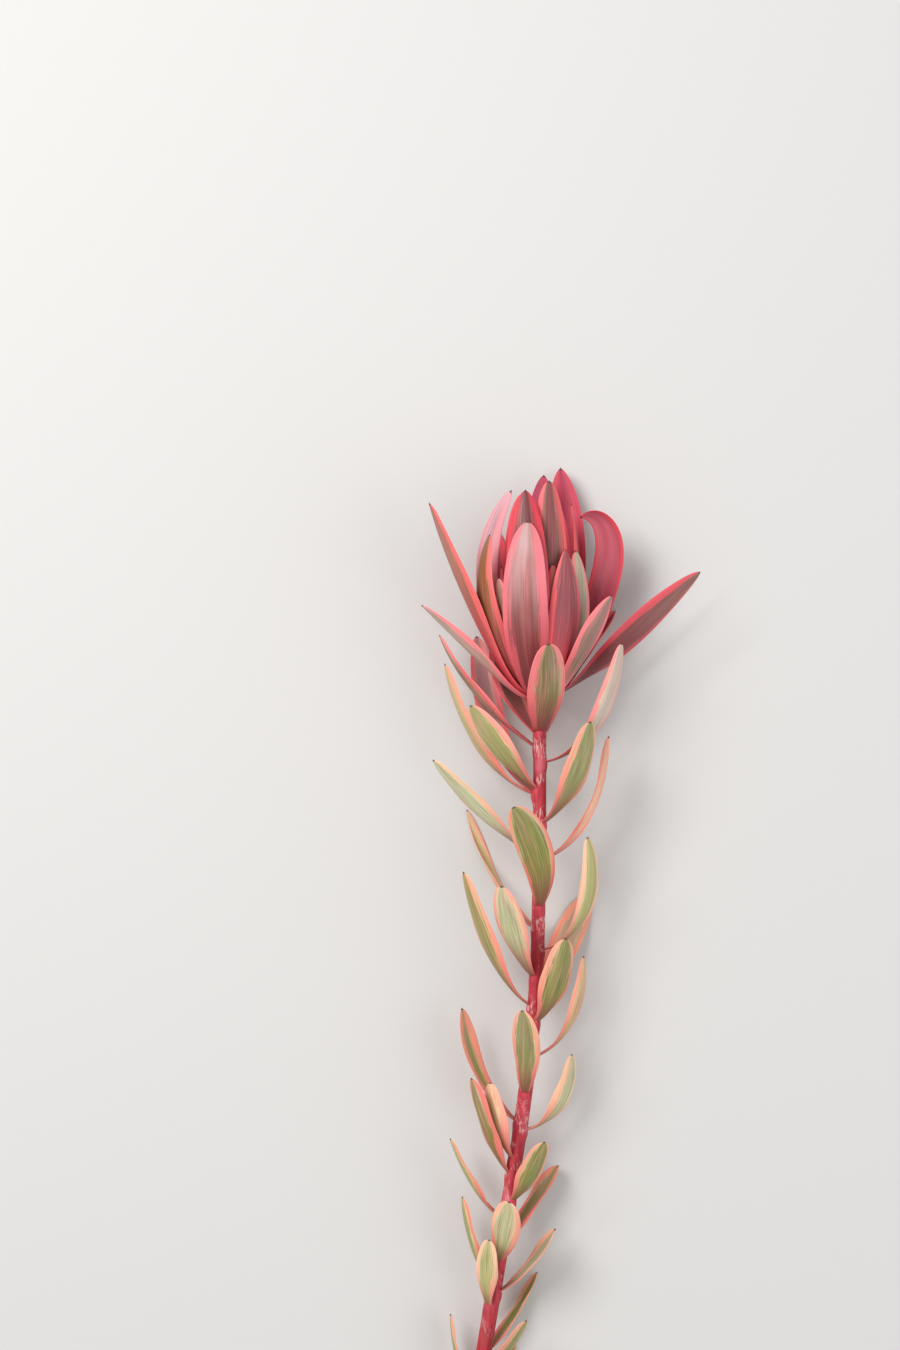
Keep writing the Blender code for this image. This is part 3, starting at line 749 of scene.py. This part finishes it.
# %% The table of bract colours
BRACT_COLOURS = {
    1: look(ROSE, CORAL),
    2: look((MAUVE, MINT, 0.35), (PINK, SALMON, 0.3), rim_width=0.21, bloom=0.4, root=PINK, root_reach=0.5),
    3: look(
        (MAUVE, GREY_GREEN, 0.4), (PINK, SALMON, 0.3), rim_width=0.32, bloom=0.3, root=PINK,
        root_reach=0.4,
    ),
    5: look((OLIVE, ROSE, 0.4), PINK),
    6: look(
        (MAUVE, GREY_GREEN, 0.2), (SCARLET, CORAL, 0.6), inner=(MAUVE, GREY_GREEN, 0.2),
        rim_width=0.32, bloom=0.2, root=(CRIMSON, MAROON, 0.6), root_reach=1.2,
    ),
    8: look(
        (MAUVE, OLIVE, 0.25), (CORAL, PINK, 0.6), rim_width=0.36, bloom=0.9,
        root=(CRIMSON, MAROON, 0.6), root_reach=1.1,
    ),
    9: look(
        GREY_GREEN, SCARLET, inner=(MAGENTA, SCARLET, 0.3), rim_width=0.22, bloom=0.3,
        root=(CRIMSON, MAROON, 0.6), root_reach=1.0,
    ),
    10: look(
        (ROSE, OLIVE, 0.25), (CORAL, SALMON, 0.3), inner=(ROSE, OLIVE, 0.25), rim_width=0.22,
        root=(SCARLET, CRIMSON, 0.4),
    ),
    11: look(
        ((MAROON, MAGENTA, 0.35), MAUVE, 0.3), CORAL, rim_width=0.2, bloom=0.1,
        root=(SCARLET, CRIMSON, 0.5),
    ),
    13: look(((OLIVE, RUST, 0.5), MAROON, 0.25), (SALMON, CORAL, 0.6), rim_width=0.3, cream=0.2),
    14: look((GREY_GREEN, MINT, 0.4), (PINK, PEACH, 0.4), bloom=0.3, root_reach=0.6),
    15: look(LAVENDER, (LAVENDER, PINK, 0.5), inner=(LAVENDER, PINK, 0.2), bloom=1.0, root_reach=0.3),
    16: look(MAROON, (SCARLET, CRIMSON, 0.3), rim_width=0.36, bloom=0.1),
    17: look(MAGENTA, (MAGENTA, CORAL, 0.4)),
    19: look(RUST, SCARLET, inner=RUST),
    20: look((MAGENTA, LAVENDER, 0.3), MAGENTA),
    24: look((MAROON, MAUVE, 0.4), CORAL, cream=0.1, bloom=0.05, rim_width=0.36),
}
print("bracts with colours of their own:", len(BRACT_COLOURS))


# %% Bract colours, by rule or from the table
def bract_colours(number):
    """A bract's colours by its place in the head, or its own where it has them."""
    chance = random.Random(SEED + 400 + number)
    share = number / BRACT_COUNT
    colours = dict(
        middle=between(between(ROSE, MAROON, chance.random()), MAGENTA, 0.8 * share),
        rim=between(CORAL, SCARLET, chance.random()),
        # The bracts deepen to crimson and maroon at the base, partly their own colour and partly painted
        # shade where they crowd.
        root=between(CRIMSON, MAROON, 0.4),
        inner=between(MAGENTA, CRIMSON, 0.5),
        cream=0.1 * chance.random(),
        bloom=0.1 + 0.2 * chance.random(),
        rim_width=0.38 + 0.1 * chance.random(),
        root_reach=0.8,
    )
    return colours | {key: tint(value) for key, value in BRACT_COLOURS.get(number, {}).items()}


for number, bract in enumerate(bracts, 1):
    bract["colours"] = bract_colours(number)
print("bract colours set for", len(bracts))

# %% [markdown]
# ## The blade finish
#
# A leucadendron blade is leathery, with a thin waxy skin and fine veins that run its whole length. Its
# colours meet in streaks, not in a line. So every pattern is drawn in the blade's own measure, share
# across and share along, where the veins come together at both ends as they should. Stretched noise
# gives the streaks, and the same noise lifts the bump and dulls the gloss.

# %% Shader helpers
def new_finish(name, surface, **choices):
    """A material. surface adds its nodes and gives the values or wires for the main shader."""
    finish = bpy.data.materials.new(name)
    finish.use_nodes = True
    tree = finish.node_tree
    tree.nodes.clear()
    shader = tree.nodes.new("ShaderNodeBsdfPrincipled")
    end = tree.nodes.new("ShaderNodeOutputMaterial")
    tree.links.new(shader.outputs["BSDF"], end.inputs["Surface"])
    for socket, value in surface(Maker(tree), **choices).items():
        if isinstance(value, Wire):
            tree.links.new(value.socket, shader.inputs[socket])
        else:
            shader.inputs[socket].default_value = value
    return finish


def read(make, name, output="Fac"):
    """Reads a stored value in a shader."""
    return make.node("ShaderNodeAttribute", {"attribute_name": name}, None, output)


def layered(make, colour, *layers):
    """A colour with others laid over it in turn. Each layer is its share and its colour."""
    for share, over in layers:
        first, second = (c if isinstance(c, Wire) else (*c, 1.0) for c in (colour, over))
        inputs = {"Factor": share, "A": first, "B": second}
        colour = make.node("ShaderNodeMix", {"data_type": "RGBA"}, inputs)
    return colour


def bumped(make, height, strength, rise):
    """Low relief from a height between 0 and 1, where rise is the most that it stands up."""
    inputs = {"Strength": strength, "Distance": rise, "Height": height}
    return make.node("ShaderNodeBump", None, inputs)


def object_place(make):
    """The place on the object, in metres."""
    return make.node("ShaderNodeTexCoord", None, None, "Object")


def cells(make, place):
    """A random number for each small cell of space, for marks with abrupt ends."""
    spots = make.node("ShaderNodeTexVoronoi", {"feature": "F1"}, {"Vector": place, "Scale": 1.0}, "Color")
    return make.axis(spots, "X")


def noise(make, place, scale, detail=2.0, roughness=0.5):
    inputs = {"Vector": place, "Scale": scale, "Detail": detail, "Roughness": roughness}
    return make.node("ShaderNodeTexNoise", None, inputs)


print("shader helpers: finishes, layers of colour, relief, cells and noise")

# %% Patterns that follow a blade
# How far apart two blades' patterns are drawn, so that no two blades look alike.
PATTERN_SHIFT = 5.3
# How fine each pattern is across and along the blade, its own shift, and its detail. The first three
# make the rim's inner edge uneven, the next three streak the colours, and the last places the waxy bloom
# and the painted highlight.
PATTERNS = {
    "drifts": (2.2, 1.2, 0.0, 2.0),
    "teeth": (10.0, 1.7, 20.0, 1.0),
    "steps": (12.0, 7.0, 10.0, 0.0),
    "broad": (5.0, 1.8, 100.0, 2.0),
    "lines": (13.0, 2.0, 40.0, 2.0),
    "veins": (30.0, 2.6, 60.0, 1.0),
    "bloom_highlight_blotches": (1.3, 2.6, 80.0, 2.0),
}


def blade_patterns(make, across, along):
    """Each pattern in turn. Steps are cells, with abrupt ends, and the others are noise."""
    own = read(make, "number") * PATTERN_SHIFT
    for name, (wide, long, shift, detail) in PATTERNS.items():
        place = make.joined(across * wide, along * long, own + shift)
        yield cells(make, place) if name == "steps" else noise(make, place, 1.0, detail)


print("patterns on a blade:", ", ".join(PATTERNS))

# %% Make the blade finish
POINT_BROWN = linear("4A2C26")
# Pale pink for the waxy bloom, laid on partly as a painted highlight.
BLOOM_HIGHLIGHT_PINK = linear("E4BCC4")
DARK_LINE = linear("5C3A34")
STALK_RED = linear("B93F50")


def blade_surface(make, low_rim, softness, pale_lines, root_and_shade_strength):
    """low_rim is what a rim deepens to near its root, and softness how gently rim and middle meet."""
    across, along = read(make, "across"), read(make, "along")
    drifts, teeth, steps, broad, lines, veins, bloom_highlight_blotches = blade_patterns(make, across, along)
    rim_width = read(make, "rim_width") / make.maths("MAXIMUM", read(make, "spread"), 0.75)
    inwards = 1.0 - abs(across) + (drifts - 0.5) * 0.4 + (teeth - 0.5) * 0.4 + (steps - 0.5) * 0.22
    inwards = inwards / rim_width
    rim = 1.0 - inwards.ramp(1.0 - softness, 1.0 + softness)
    beside = inwards.ramp(0.75, 1.0) * (1.0 - inwards.ramp(1.1, 1.7)) * teeth.ramp(0.42, 0.62)
    cream = beside * along.ramp(0.2, 0.6) * read(make, "cream")
    root = 1.0 - (along / read(make, "root_reach") + (drifts - 0.5) * 0.5).ramp(0.15, 1.0)

    rim_colour, root_and_shade_colour = read(make, "rim", "Color"), read(make, "root", "Color")
    middle = layered(
        make,
        read(make, "middle", "Color"),
        (broad.ramp(0.52, 0.72) * 0.35, rim_colour),
        (broad.ramp(0.48, 0.3) * 0.3, root_and_shade_colour),
        (lines.ramp(0.52, 0.7) * 0.3, rim_colour),
        (lines.ramp(0.5, 0.3) * pale_lines, CREAM),
        (veins.ramp(0.46, 0.66) * 0.45, DARK_LINE),
        ((1.0 - read(make, "outer")) * 0.9, read(make, "inner", "Color")),
    )
    pale = layered(
        make,
        rim_colour,
        (drifts.ramp(0.4, 0.7) * read(make, "cream") * 0.35, CREAM),
        (along.ramp(0.75, 0.2) * 0.5, low_rim),
        (lines.ramp(0.45, 0.68) * 0.22, root_and_shade_colour),
    )
    # Waxy bloom and a painted pale highlight, stronger towards the tip and weaker on the rim.
    bloom_and_highlight_mask = read(make, "bloom") * bloom_highlight_blotches.ramp(0.25, 0.7) * along.ramp(0.35, 0.95) * (1.0 - rim * 0.6)
    colour = layered(
        make,
        middle,
        (cream, CREAM),
        (rim, pale),
        # The root's colour over the base: a real flush, and on the bracts also painted shade.
        (root * (root_and_shade_strength - rim * 0.5), root_and_shade_colour),
        ((1.0 - along.ramp(0.02, 0.12)) * 0.8, STALK_RED),
        (bloom_and_highlight_mask * 0.6, BLOOM_HIGHLIGHT_PINK),
        (along.ramp(0.990, 0.998), POINT_BROWN),
    )
    return {
        "Base Color": colour,
        "Roughness": 0.38 + lines * 0.14 + bloom_and_highlight_mask * 0.15,
        "Specular IOR Level": 0.3,
        "Normal": bumped(make, veins * 0.5 + lines * 0.5, 0.5, 0.1 * MM),
        "Subsurface Weight": 0.1,
        "Subsurface Scale": 1.5 * MM,
        "Coat Weight": 0.06,
        "Coat Roughness": 0.3,
    }


leaf_look = dict(low_rim=CORAL, softness=0.2, pale_lines=0.22, root_and_shade_strength=0.8)
bract_look = dict(low_rim=SCARLET, softness=0.38, pale_lines=0.1, root_and_shade_strength=0.9)
leaf_finish = new_finish("leaf_finish", blade_surface, **leaf_look)
bract_finish = new_finish("bract_finish", blade_surface, **bract_look)
print("blade finishes:", leaf_finish.name, bract_finish.name)

# %% [markdown]
# ## Grow the leaves and the bracts
#
# Each group becomes one piece. Groups of about a dozen keep enough picture detail for every blade when
# the finished model's surfaces are baked, and they let the outer and inner bracts be looked at apart.

# %% Grow them
LEAF_GROUPS = (("upper_leaves", 0, 10), ("middle_leaves", 10, 22), ("lower_leaves", 22, LEAF_COUNT))
BRACT_GROUPS = (("outer_bracts", 0, 8), ("middle_bracts", 8, 17), ("inner_bracts", 17, BRACT_COUNT))
BLADE_SIZES = {
    "Columns": 19,
    "Thickness": 0.9 * MM,
    "Table Ease": 3.0 * MM,
    "Point Width": 0.26 * MM,
    "Point Length": 0.55 * MM,
}


def blade_piece(name, blades, finish, ripples, height):
    """One group of blades as a finished piece."""
    sizes = BLADE_SIZES | {"Ripples": ripples, "Ripple Height": height * MM, "Finish": finish}
    piece = grow(guide_object(name, blades), sweep, sizes)
    print(name, "faces:", len(piece.data.polygons))
    return piece


numbered_leaves = sorted(enumerate(leaves[:LEAF_COUNT]), key=lambda entry: entry[1]["down"])
numbered_bracts = list(enumerate(bracts, 1))
leaf_pieces = [
    blade_piece(name, numbered_leaves[first:last], leaf_finish, ripples=9.0, height=0.7)
    for name, first, last in LEAF_GROUPS
]
bract_pieces = [
    blade_piece(name, numbered_bracts[first:last], bract_finish, ripples=7.0, height=0.9)
    for name, first, last in BRACT_GROUPS
]

# %% [markdown]
# ## The stem
#
# The woody stem is a tube, but not a pipe: it swells into a cushion under every leaf, keeps a low scar
# where a leaf has dropped, and has fine ridges. A mesh worked out ring by ring can carry all of that in
# one radius formula. Its cut end is a slanted disc with a bark rim, wood and a soft pith.

# %% A closed tube
SHARP_ANGLE = math.radians(55.0)


def tube(name, rings):
    """A closed tube. Each ring is (centre, directions, radii, slant, kept value)."""
    sides = len(rings[0][2])
    points, faces, kept = [], [], []
    for centre, (along, up, right), radii, slant, value in rings:
        for i, radius in enumerate(radii):
            turn = 2.0 * math.pi * i / sides
            point = centre + radius * (math.cos(turn) * up + math.sin(turn) * right)
            point = point + along * slant * radius * math.cos(turn)
            point[2] = max(point[2], 0.0)
            points.append((point + HEAD_BASE) * MM)
            kept.append(value)
    for n in range(len(rings) - 1):
        for i in range(sides):
            a, b = n * sides + i, n * sides + (i + 1) % sides
            faces.append((a, b, b + sides, a + sides))
    faces.append(tuple(range(sides))[::-1])
    faces.append(tuple(range((len(rings) - 1) * sides, len(rings) * sides)))
    thing = mesh_object(name, points, faces=faces, kept=kept)
    thing.data.shade_smooth()
    thing.data.set_sharp_from_angle(angle=SHARP_ANGLE)
    return thing


print("a tube turns sharp over", round(math.degrees(SHARP_ANGLE)), "degrees")

# %% Build the stem
STEM_SIDES = 32
STEM_RING_GAP = 1.0
SEAT_DOWN = 3.5
SEAT_GAP = 0.3
SCAR_HEIGHT = 0.55
SCAR_LENGTH = 2.6
CUT_SLANT = 0.45
BARK_INSET = 0.05
RIDGE_HEIGHT = 0.04
# Each ring of the cut face: its share of the radius, and how far it lies back from the cut.
CUT_RINGS = ((0.05, 0.3), (0.22, 0.25), (0.26, 0.0), (0.86, 0.0), (0.93, -0.1), (0.99, 0.0))


def stem_radii(down):
    """The stem's radius all round, with cushions, scars and fine ridges."""
    plain = STEM_TOP_RADIUS + (STEM_CUT_RADIUS - STEM_TOP_RADIUS) * down / STEM_LENGTH
    radii = []
    for i in range(STEM_SIDES):
        turn = 2.0 * math.pi * i / STEM_SIDES
        radius = plain
        for leaf in leaves:
            away = down - leaf["down"] - 1.0
            if abs(away) < 4.0 * SCAR_LENGTH:
                facing = max(0.0, math.cos(turn - math.radians(leaf["azimuth"])))
                near = math.exp(-((away / SCAR_LENGTH) ** 2))
                radius += SCAR_HEIGHT * near * facing * facing
        ridges = math.sin(7.0 * turn + 0.02 * down) + math.sin(11.0 * turn - 0.05 * down)
        radii.append(radius - BARK_INSET + RIDGE_HEIGHT * ridges)
    return radii


def build_stem():
    """The woody stem with its slanted cut end: pith, wood and bark from the middle out."""
    cut = axis_point(STEM_LENGTH)
    directions = axis_frame(STEM_LENGTH)
    rings = []
    for share, back in CUT_RINGS:
        radii = [STEM_CUT_RADIUS * share] * STEM_SIDES
        rings.append((cut + directions[0] * back, directions, radii, CUT_SLANT, 2.0 + share))
    radii = [STEM_CUT_RADIUS] * STEM_SIDES
    rings.append((cut + directions[0] * 0.1, directions, radii, CUT_SLANT, 1.0))
    downs = np.arange(STEM_LENGTH - 4.0, SEAT_DOWN + SEAT_GAP, -STEM_RING_GAP)
    for down in downs:
        share = down / STEM_LENGTH
        rings.append((axis_point(down), axis_frame(down), stem_radii(down), 0.0, share))
    return tube("woody_stem", rings)


stem = build_stem()
print("stem faces:", len(stem.data.polygons))

# %% Build the receptacle
# Its distances below the head's base, and its radius at each.
RECEPTACLE = ((3.5, 2.9), (1.5, 4.3), (-1.0, 5.6), (-3.5, 6.2), (-6.0, 5.8))
RECEPTACLE_RINGS = 16


def build_receptacle():
    """The swollen top of the stem, which carries the bracts."""
    stations, radii = zip(*RECEPTACLE)
    rings = []
    for down in np.linspace(stations[0], stations[-1], RECEPTACLE_RINGS):
        radius = float(np.interp(-down, [-s for s in stations], radii))
        ring = [radius * (1.0 + 0.02 * math.sin(5.0 * i)) for i in range(STEM_SIDES)]
        rings.append((axis_point(down), axis_frame(down), ring, 0.0, 0.0))
    return tube("receptacle", rings)


receptacle = build_receptacle()
print("receptacle faces:", len(receptacle.data.polygons))

# %% [markdown]
# ## Bark
#
# Young leucadendron bark is crimson, browner and greyer lower down, streaked along its length and
# flecked with pale hairs. Paler pink patches on it are partly painted highlight. At the cut, the same
# mesh turns to pale green wood round a cream pith.

# %% The bark finish
BARK_RED = linear("C63E4C")
BARK_DARK = linear("862539")
BARK_BROWN = linear("93504A")
# Paler pink for bark patches, partly a painted highlight.
BARK_PALE_AND_HIGHLIGHT = linear("DE7884")
LINT = linear("F0D2CE")
WOOD = linear("CDBE86")
PITH = linear("E9DDB8")


def lint_clumps(make, place):
    """Where lint gathers on the bark, from 0 to 1."""
    return noise(make, place, 110.0).ramp(0.5, 0.6)


def bark_surface(make):
    """kept runs from 0 to 1 down the stem. On the cut it is 2 and the share of the radius."""
    place = object_place(make)
    kept = read(make, "kept")
    streaks = noise(make, make.vector("MULTIPLY", place, (1.0, 0.12, 1.0)), 900.0, 3.0)
    patches = noise(make, make.vector("MULTIPLY", place, (1.0, 0.5, 1.0)), 90.0, 3.0)
    flecks = noise(make, make.vector("MULTIPLY", place, (1.0, 0.2, 1.0)), 1600.0, 2.0)
    woody = kept.ramp(0.45, 1.0) * 0.75
    young = 1.0 - kept.ramp(0.3, 0.9) * 0.75
    lint = flecks.ramp(0.48, 0.64) * lint_clumps(make, place) * young * 0.6
    wood = layered(make, PITH, (kept.ramp(2.2, 2.3), WOOD), (kept.ramp(2.86, 2.95), BARK_DARK))
    colour = layered(
        make,
        BARK_RED,
        (streaks.ramp(0.38, 0.72) * 0.55, BARK_DARK),
        # Paler pink patches: partly paler bark, partly painted highlight.
        (patches.ramp(0.56, 0.7) * 0.6, BARK_PALE_AND_HIGHLIGHT),
        (woody * patches.ramp(0.5, 0.3), BARK_BROWN),
        (lint, LINT),
        (kept.ramp(1.5, 1.6), wood),
    )
    return {
        "Base Color": colour,
        "Roughness": 0.42 + streaks * 0.2,
        "Specular IOR Level": 0.35,
        "Normal": bumped(make, streaks, 0.7, 0.2 * MM),
        "Subsurface Weight": 0.05,
        "Subsurface Scale": 1.0 * MM,
    }


bark = new_finish("bark_finish", bark_surface)
stem.data.materials.append(bark)
receptacle.data.materials.append(bark)
print("bark finish nodes:", len(bark.node_tree.nodes))

# %% [markdown]
# ## Down on the stem
#
# Short pale hairs catch the light on the young bark just under the leaves. Painted dots would lie flat,
# so a tree scatters thin three-sided hairs over the stem by a fixed seed and leans each at random.


# %% The tree that scatters hairs
def hair_tree():
    tree, make, given = new_tree("hairs", ("Density", "Hair Length", "Hair Radius"), ("Seed",))
    kept = stored(make, "kept")
    amount = given["Density"] * (1.0 - kept.ramp(0.25, 0.9) * 0.85) * make.maths("LESS_THAN", kept, 1.5)
    amount = amount * (0.08 + lint_clumps(make, make.node("GeometryNodeInputPosition")))
    scatter = {"Mesh": given["Geometry"], "Density": amount, "Seed": given["Seed"]}
    points = make.node("GeometryNodeDistributePointsOnFaces", None, scatter, "Points")
    # The spread is widest in Y, so most hairs lie along the stem.
    spread = {"Min": (-0.8, -2.4, -0.8), "Max": (0.8, 2.4, 0.8), "Seed": given["Seed"]}
    wild = make.node("FunctionNodeRandomValue", {"data_type": "FLOAT_VECTOR"}, spread)
    normal = make.node("GeometryNodeInputNormal")
    points = store(make, points, "lay", make.vector("ADD", normal, wild), "FLOAT_VECTOR")
    hair = {
        "Vertices": 3,
        "Radius Top": 0.0,
        "Radius Bottom": given["Hair Radius"],
        "Depth": given["Hair Length"],
    }
    hair = make.node("GeometryNodeMeshCone", {"fill_type": "NONE"}, hair, "Mesh")
    lengths = {"Min": 0.5, "Max": 1.3, "Seed": 5}
    long = make.node("FunctionNodeRandomValue", {"data_type": "FLOAT"}, lengths)
    hairs = copies(make, points, hair, "lay", make.joined(1.0, 1.0, long))
    end_tree(make, hairs, given["Finish"], smooth=False)
    return tree


hairs_tree = hair_tree()
print("hair tree:", len(hairs_tree.nodes), "nodes")


# %% Grow the hairs
def down_surface(make):
    shade = noise(make, object_place(make), 300.0)
    colour = layered(make, linear("F3DEDA"), (shade.ramp(0.3, 0.7), linear("E8B9B4")))
    return {"Base Color": colour, "Roughness": 0.6 + shade * 0.2}


HAIR_SIZES = {
    "Density": 600000.0,
    "Hair Length": 1.3 * MM,
    "Hair Radius": 0.065 * MM,
    "Seed": 3,
    "Finish": new_finish("down_finish", down_surface),
}
bare_stem = stem.data.copy()
bare_stem.materials.clear()
stem_down = grow(put("stem_down", bare_stem), hairs_tree, HAIR_SIZES)
print("hairs:", len(stem_down.data.polygons) // 3)

# %% [markdown]
# ## The cone
#
# Inside the goblet sits the true flower: a small cone of overlapping scales on a golden-angle spiral,
# downy and cream green. One pointed scale is repeated by a tree along the spiral's points, turned
# outwards at each, over a plain core.

# %% Lay out the cone's scales
CONE_BASE = -6.3
CONE_HEIGHT = 24.0
CONE_RADIUS = 7.2
CONE_SCALES = 170
GOLDEN_ANGLE = math.radians(137.508)
SCALE_SUNK = 1.3
CORE_SUNK = 1.0
CORE_RINGS = 18


def cone_radius(t):
    """The cone's radius at share t of its height."""
    return CONE_RADIUS * math.sin(math.pi * (0.09 + 0.87 * t)) ** 0.8


def cone_spots():
    """Guide points for the scales, with the direction that each points in."""
    points, lays = [], []
    for n in range(CONE_SCALES):
        t = ((n + 0.5) / CONE_SCALES) ** 0.9
        along, up, right = axis_frame(CONE_BASE - CONE_HEIGHT * t)
        out = math.cos(n * GOLDEN_ANGLE) * up + math.sin(n * GOLDEN_ANGLE) * right
        centre = axis_point(CONE_BASE - CONE_HEIGHT * t)
        points.append((centre + out * (cone_radius(t) - SCALE_SUNK) + HEAD_BASE) * MM)
        lays.append(out * (0.75 - 0.5 * t) + along)
    return mesh_object("cone_scales", points, lay=lays)


cone_scales = cone_spots()
print("cone scales:", len(cone_scales.data.vertices))


# %% The tree that sets the scales
def scale_tree():
    tree, make, given = new_tree("scales", ("Scale Radius", "Scale Length"))
    shape = {
        "Vertices": 8,
        "Side Segments": 3,
        "Radius Top": 0.05 * MM,
        "Radius Bottom": given["Scale Radius"],
        "Depth": given["Scale Length"],
    }
    scale = make.node("GeometryNodeMeshCone", {"fill_type": "TRIANGLE_FAN"}, shape, "Mesh")
    scales = copies(make, given["Geometry"], scale, "lay")
    end_tree(make, scales, given["Finish"])
    return tree


scales_tree = scale_tree()
print("scale tree:", len(scales_tree.nodes), "nodes")


# %% Finish and grow the cone
def cone_surface(make):
    place = object_place(make)
    marks = noise(make, place, 1400.0, 2.0)
    patches = noise(make, place, 220.0)
    green = (patches.ramp(0.3, 0.7), linear("9FA05C"))
    downy = (marks.ramp(0.45, 0.75) * 0.6, linear("F0E9C8"))
    return {
        "Base Color": layered(make, linear("C9C48A"), green, downy),
        "Roughness": 0.7 + patches * 0.15,
        "Normal": bumped(make, marks, 0.6, 0.1 * MM),
    }


velvet = new_finish("cone_finish", cone_surface)
scale_sizes = {"Scale Radius": 1.3 * MM, "Scale Length": 3.4 * MM, "Finish": velvet}
cone_scales = grow(cone_scales, scales_tree, scale_sizes)
core_rings = []
for t in np.linspace(0.0, 1.0, CORE_RINGS):
    level = CONE_BASE - 0.3 - (CONE_HEIGHT - 1.0) * t
    core = [max(cone_radius(t) - CORE_SUNK, 0.4)] * STEM_SIDES
    core_rings.append((axis_point(level), axis_frame(level), core, 0.0, 0.0))
cone_core = tube("cone_core", core_rings)
cone_core.data.materials.append(velvet)
print("cone faces:", len(cone_scales.data.polygons) + len(cone_core.data.polygons))

# %% [markdown]
# ## Where the pieces belong
#
# Every piece rides on the part's one body, and the plain solid that it stands for is hidden.

# %% Ride and replace
stem_pieces = [stem, stem_down, *leaf_pieces]
head_pieces = [receptacle, *bract_pieces]
cone_pieces = [cone_scales, cone_core]
for piece in stem_pieces:
    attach(piece, "root")
    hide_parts("leafy_stem")
for piece in head_pieces:
    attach(piece, "root")
    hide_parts("bract_head")
for piece in cone_pieces:
    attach(piece, "root")
    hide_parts("flower_cone")
print("pieces on the body:", len(stem_pieces + head_pieces + cone_pieces))

# %% [markdown]
# ## Table, light and camera
#
# The stem lies on a plain pale table under soft studio light that comes mostly from the upper left. The
# camera looks straight down on it, at the scale and framing of the picture.

# %% The table
TABLE_PALE = linear("D0CFCE")
TABLE_GRAIN = (0.7, 0.7, 0.7)
TABLE_REACH = 3.0
TABLE_GAP = 0.4 * MM


def table_surface(make):
    grain = noise(make, object_place(make), 60.0)
    colour = layered(make, TABLE_PALE, (grain * 0.04, TABLE_GRAIN))
    return {"Base Color": colour, "Roughness": 0.85}


table_corners = [(x * TABLE_REACH, y * TABLE_REACH, 0.0) for x, y in ((-1, -1), (1, -1), (1, 1), (-1, 1))]
table = mesh_object("table", table_corners, faces=[(0, 1, 2, 3)])
table.location.z = -TABLE_GAP
table.data.materials.append(new_finish("table_finish", table_surface))
print("table's width in mm:", round(2 * TABLE_REACH / MM))

# %% The lights
def soft_light(name, place, target, size, power, colour):
    """A square soft light at place that faces target."""
    light = bpy.data.lights.new(name, "AREA")
    light.size = size
    light.energy = power
    light.color = colour
    lamp = put(name, light)
    lamp.location = place
    aim = np.array(target) - np.array(place)
    flat = math.hypot(aim[0], aim[1])
    lamp.rotation_euler = (math.atan2(flat, -aim[2]), 0.0, math.atan2(-aim[0], aim[1]))
    return lamp


MIDDLE = (0.0, 0.1, 0.03)
soft_light("key_light", (-0.9, 0.9, 1.3), MIDDLE, 0.9, 25.0, (1.0, 0.985, 0.965))
soft_light("fill_light", (1.2, -0.2, 1.1), MIDDLE, 1.4, 8.0, (0.96, 0.975, 1.0))
world = bpy.data.worlds.new("studio")
world.use_nodes = True
sky = world.node_tree.nodes["Background"].inputs
sky["Color"].default_value = (1.0, 0.99, 0.98, 1.0)
sky["Strength"].default_value = 0.57
bpy.context.scene.world = world
bpy.context.scene.view_settings.view_transform = "Standard"
print("lights:", ", ".join(light.name for light in bpy.data.lights))

# %% The camera
MM_PER_PIXEL = 0.45
PICTURE_WIDTH, PICTURE_HEIGHT = 900, 1350
HEAD_BASE_PIXEL = (540, 700)
CAMERA_HEIGHT = 1.3
SENSOR_WIDTH = 36.0

camera_data = bpy.data.cameras.new("camera")
camera_data.sensor_width = SENSOR_WIDTH
camera_data.lens = SENSOR_WIDTH * CAMERA_HEIGHT / (PICTURE_HEIGHT * MM_PER_PIXEL * MM)
camera = put("camera", camera_data)
right_of_head = (PICTURE_WIDTH / 2 - HEAD_BASE_PIXEL[0]) * MM_PER_PIXEL
above_head = (HEAD_BASE_PIXEL[1] - PICTURE_HEIGHT / 2) * MM_PER_PIXEL
camera.location = (
    (HEAD_BASE[0] + right_of_head) * MM,
    (HEAD_BASE[1] + above_head) * MM,
    HEAD_HEIGHT * MM + CAMERA_HEIGHT,
)
bpy.context.scene.camera = camera
print("lens in mm:", round(camera_data.lens, 1))
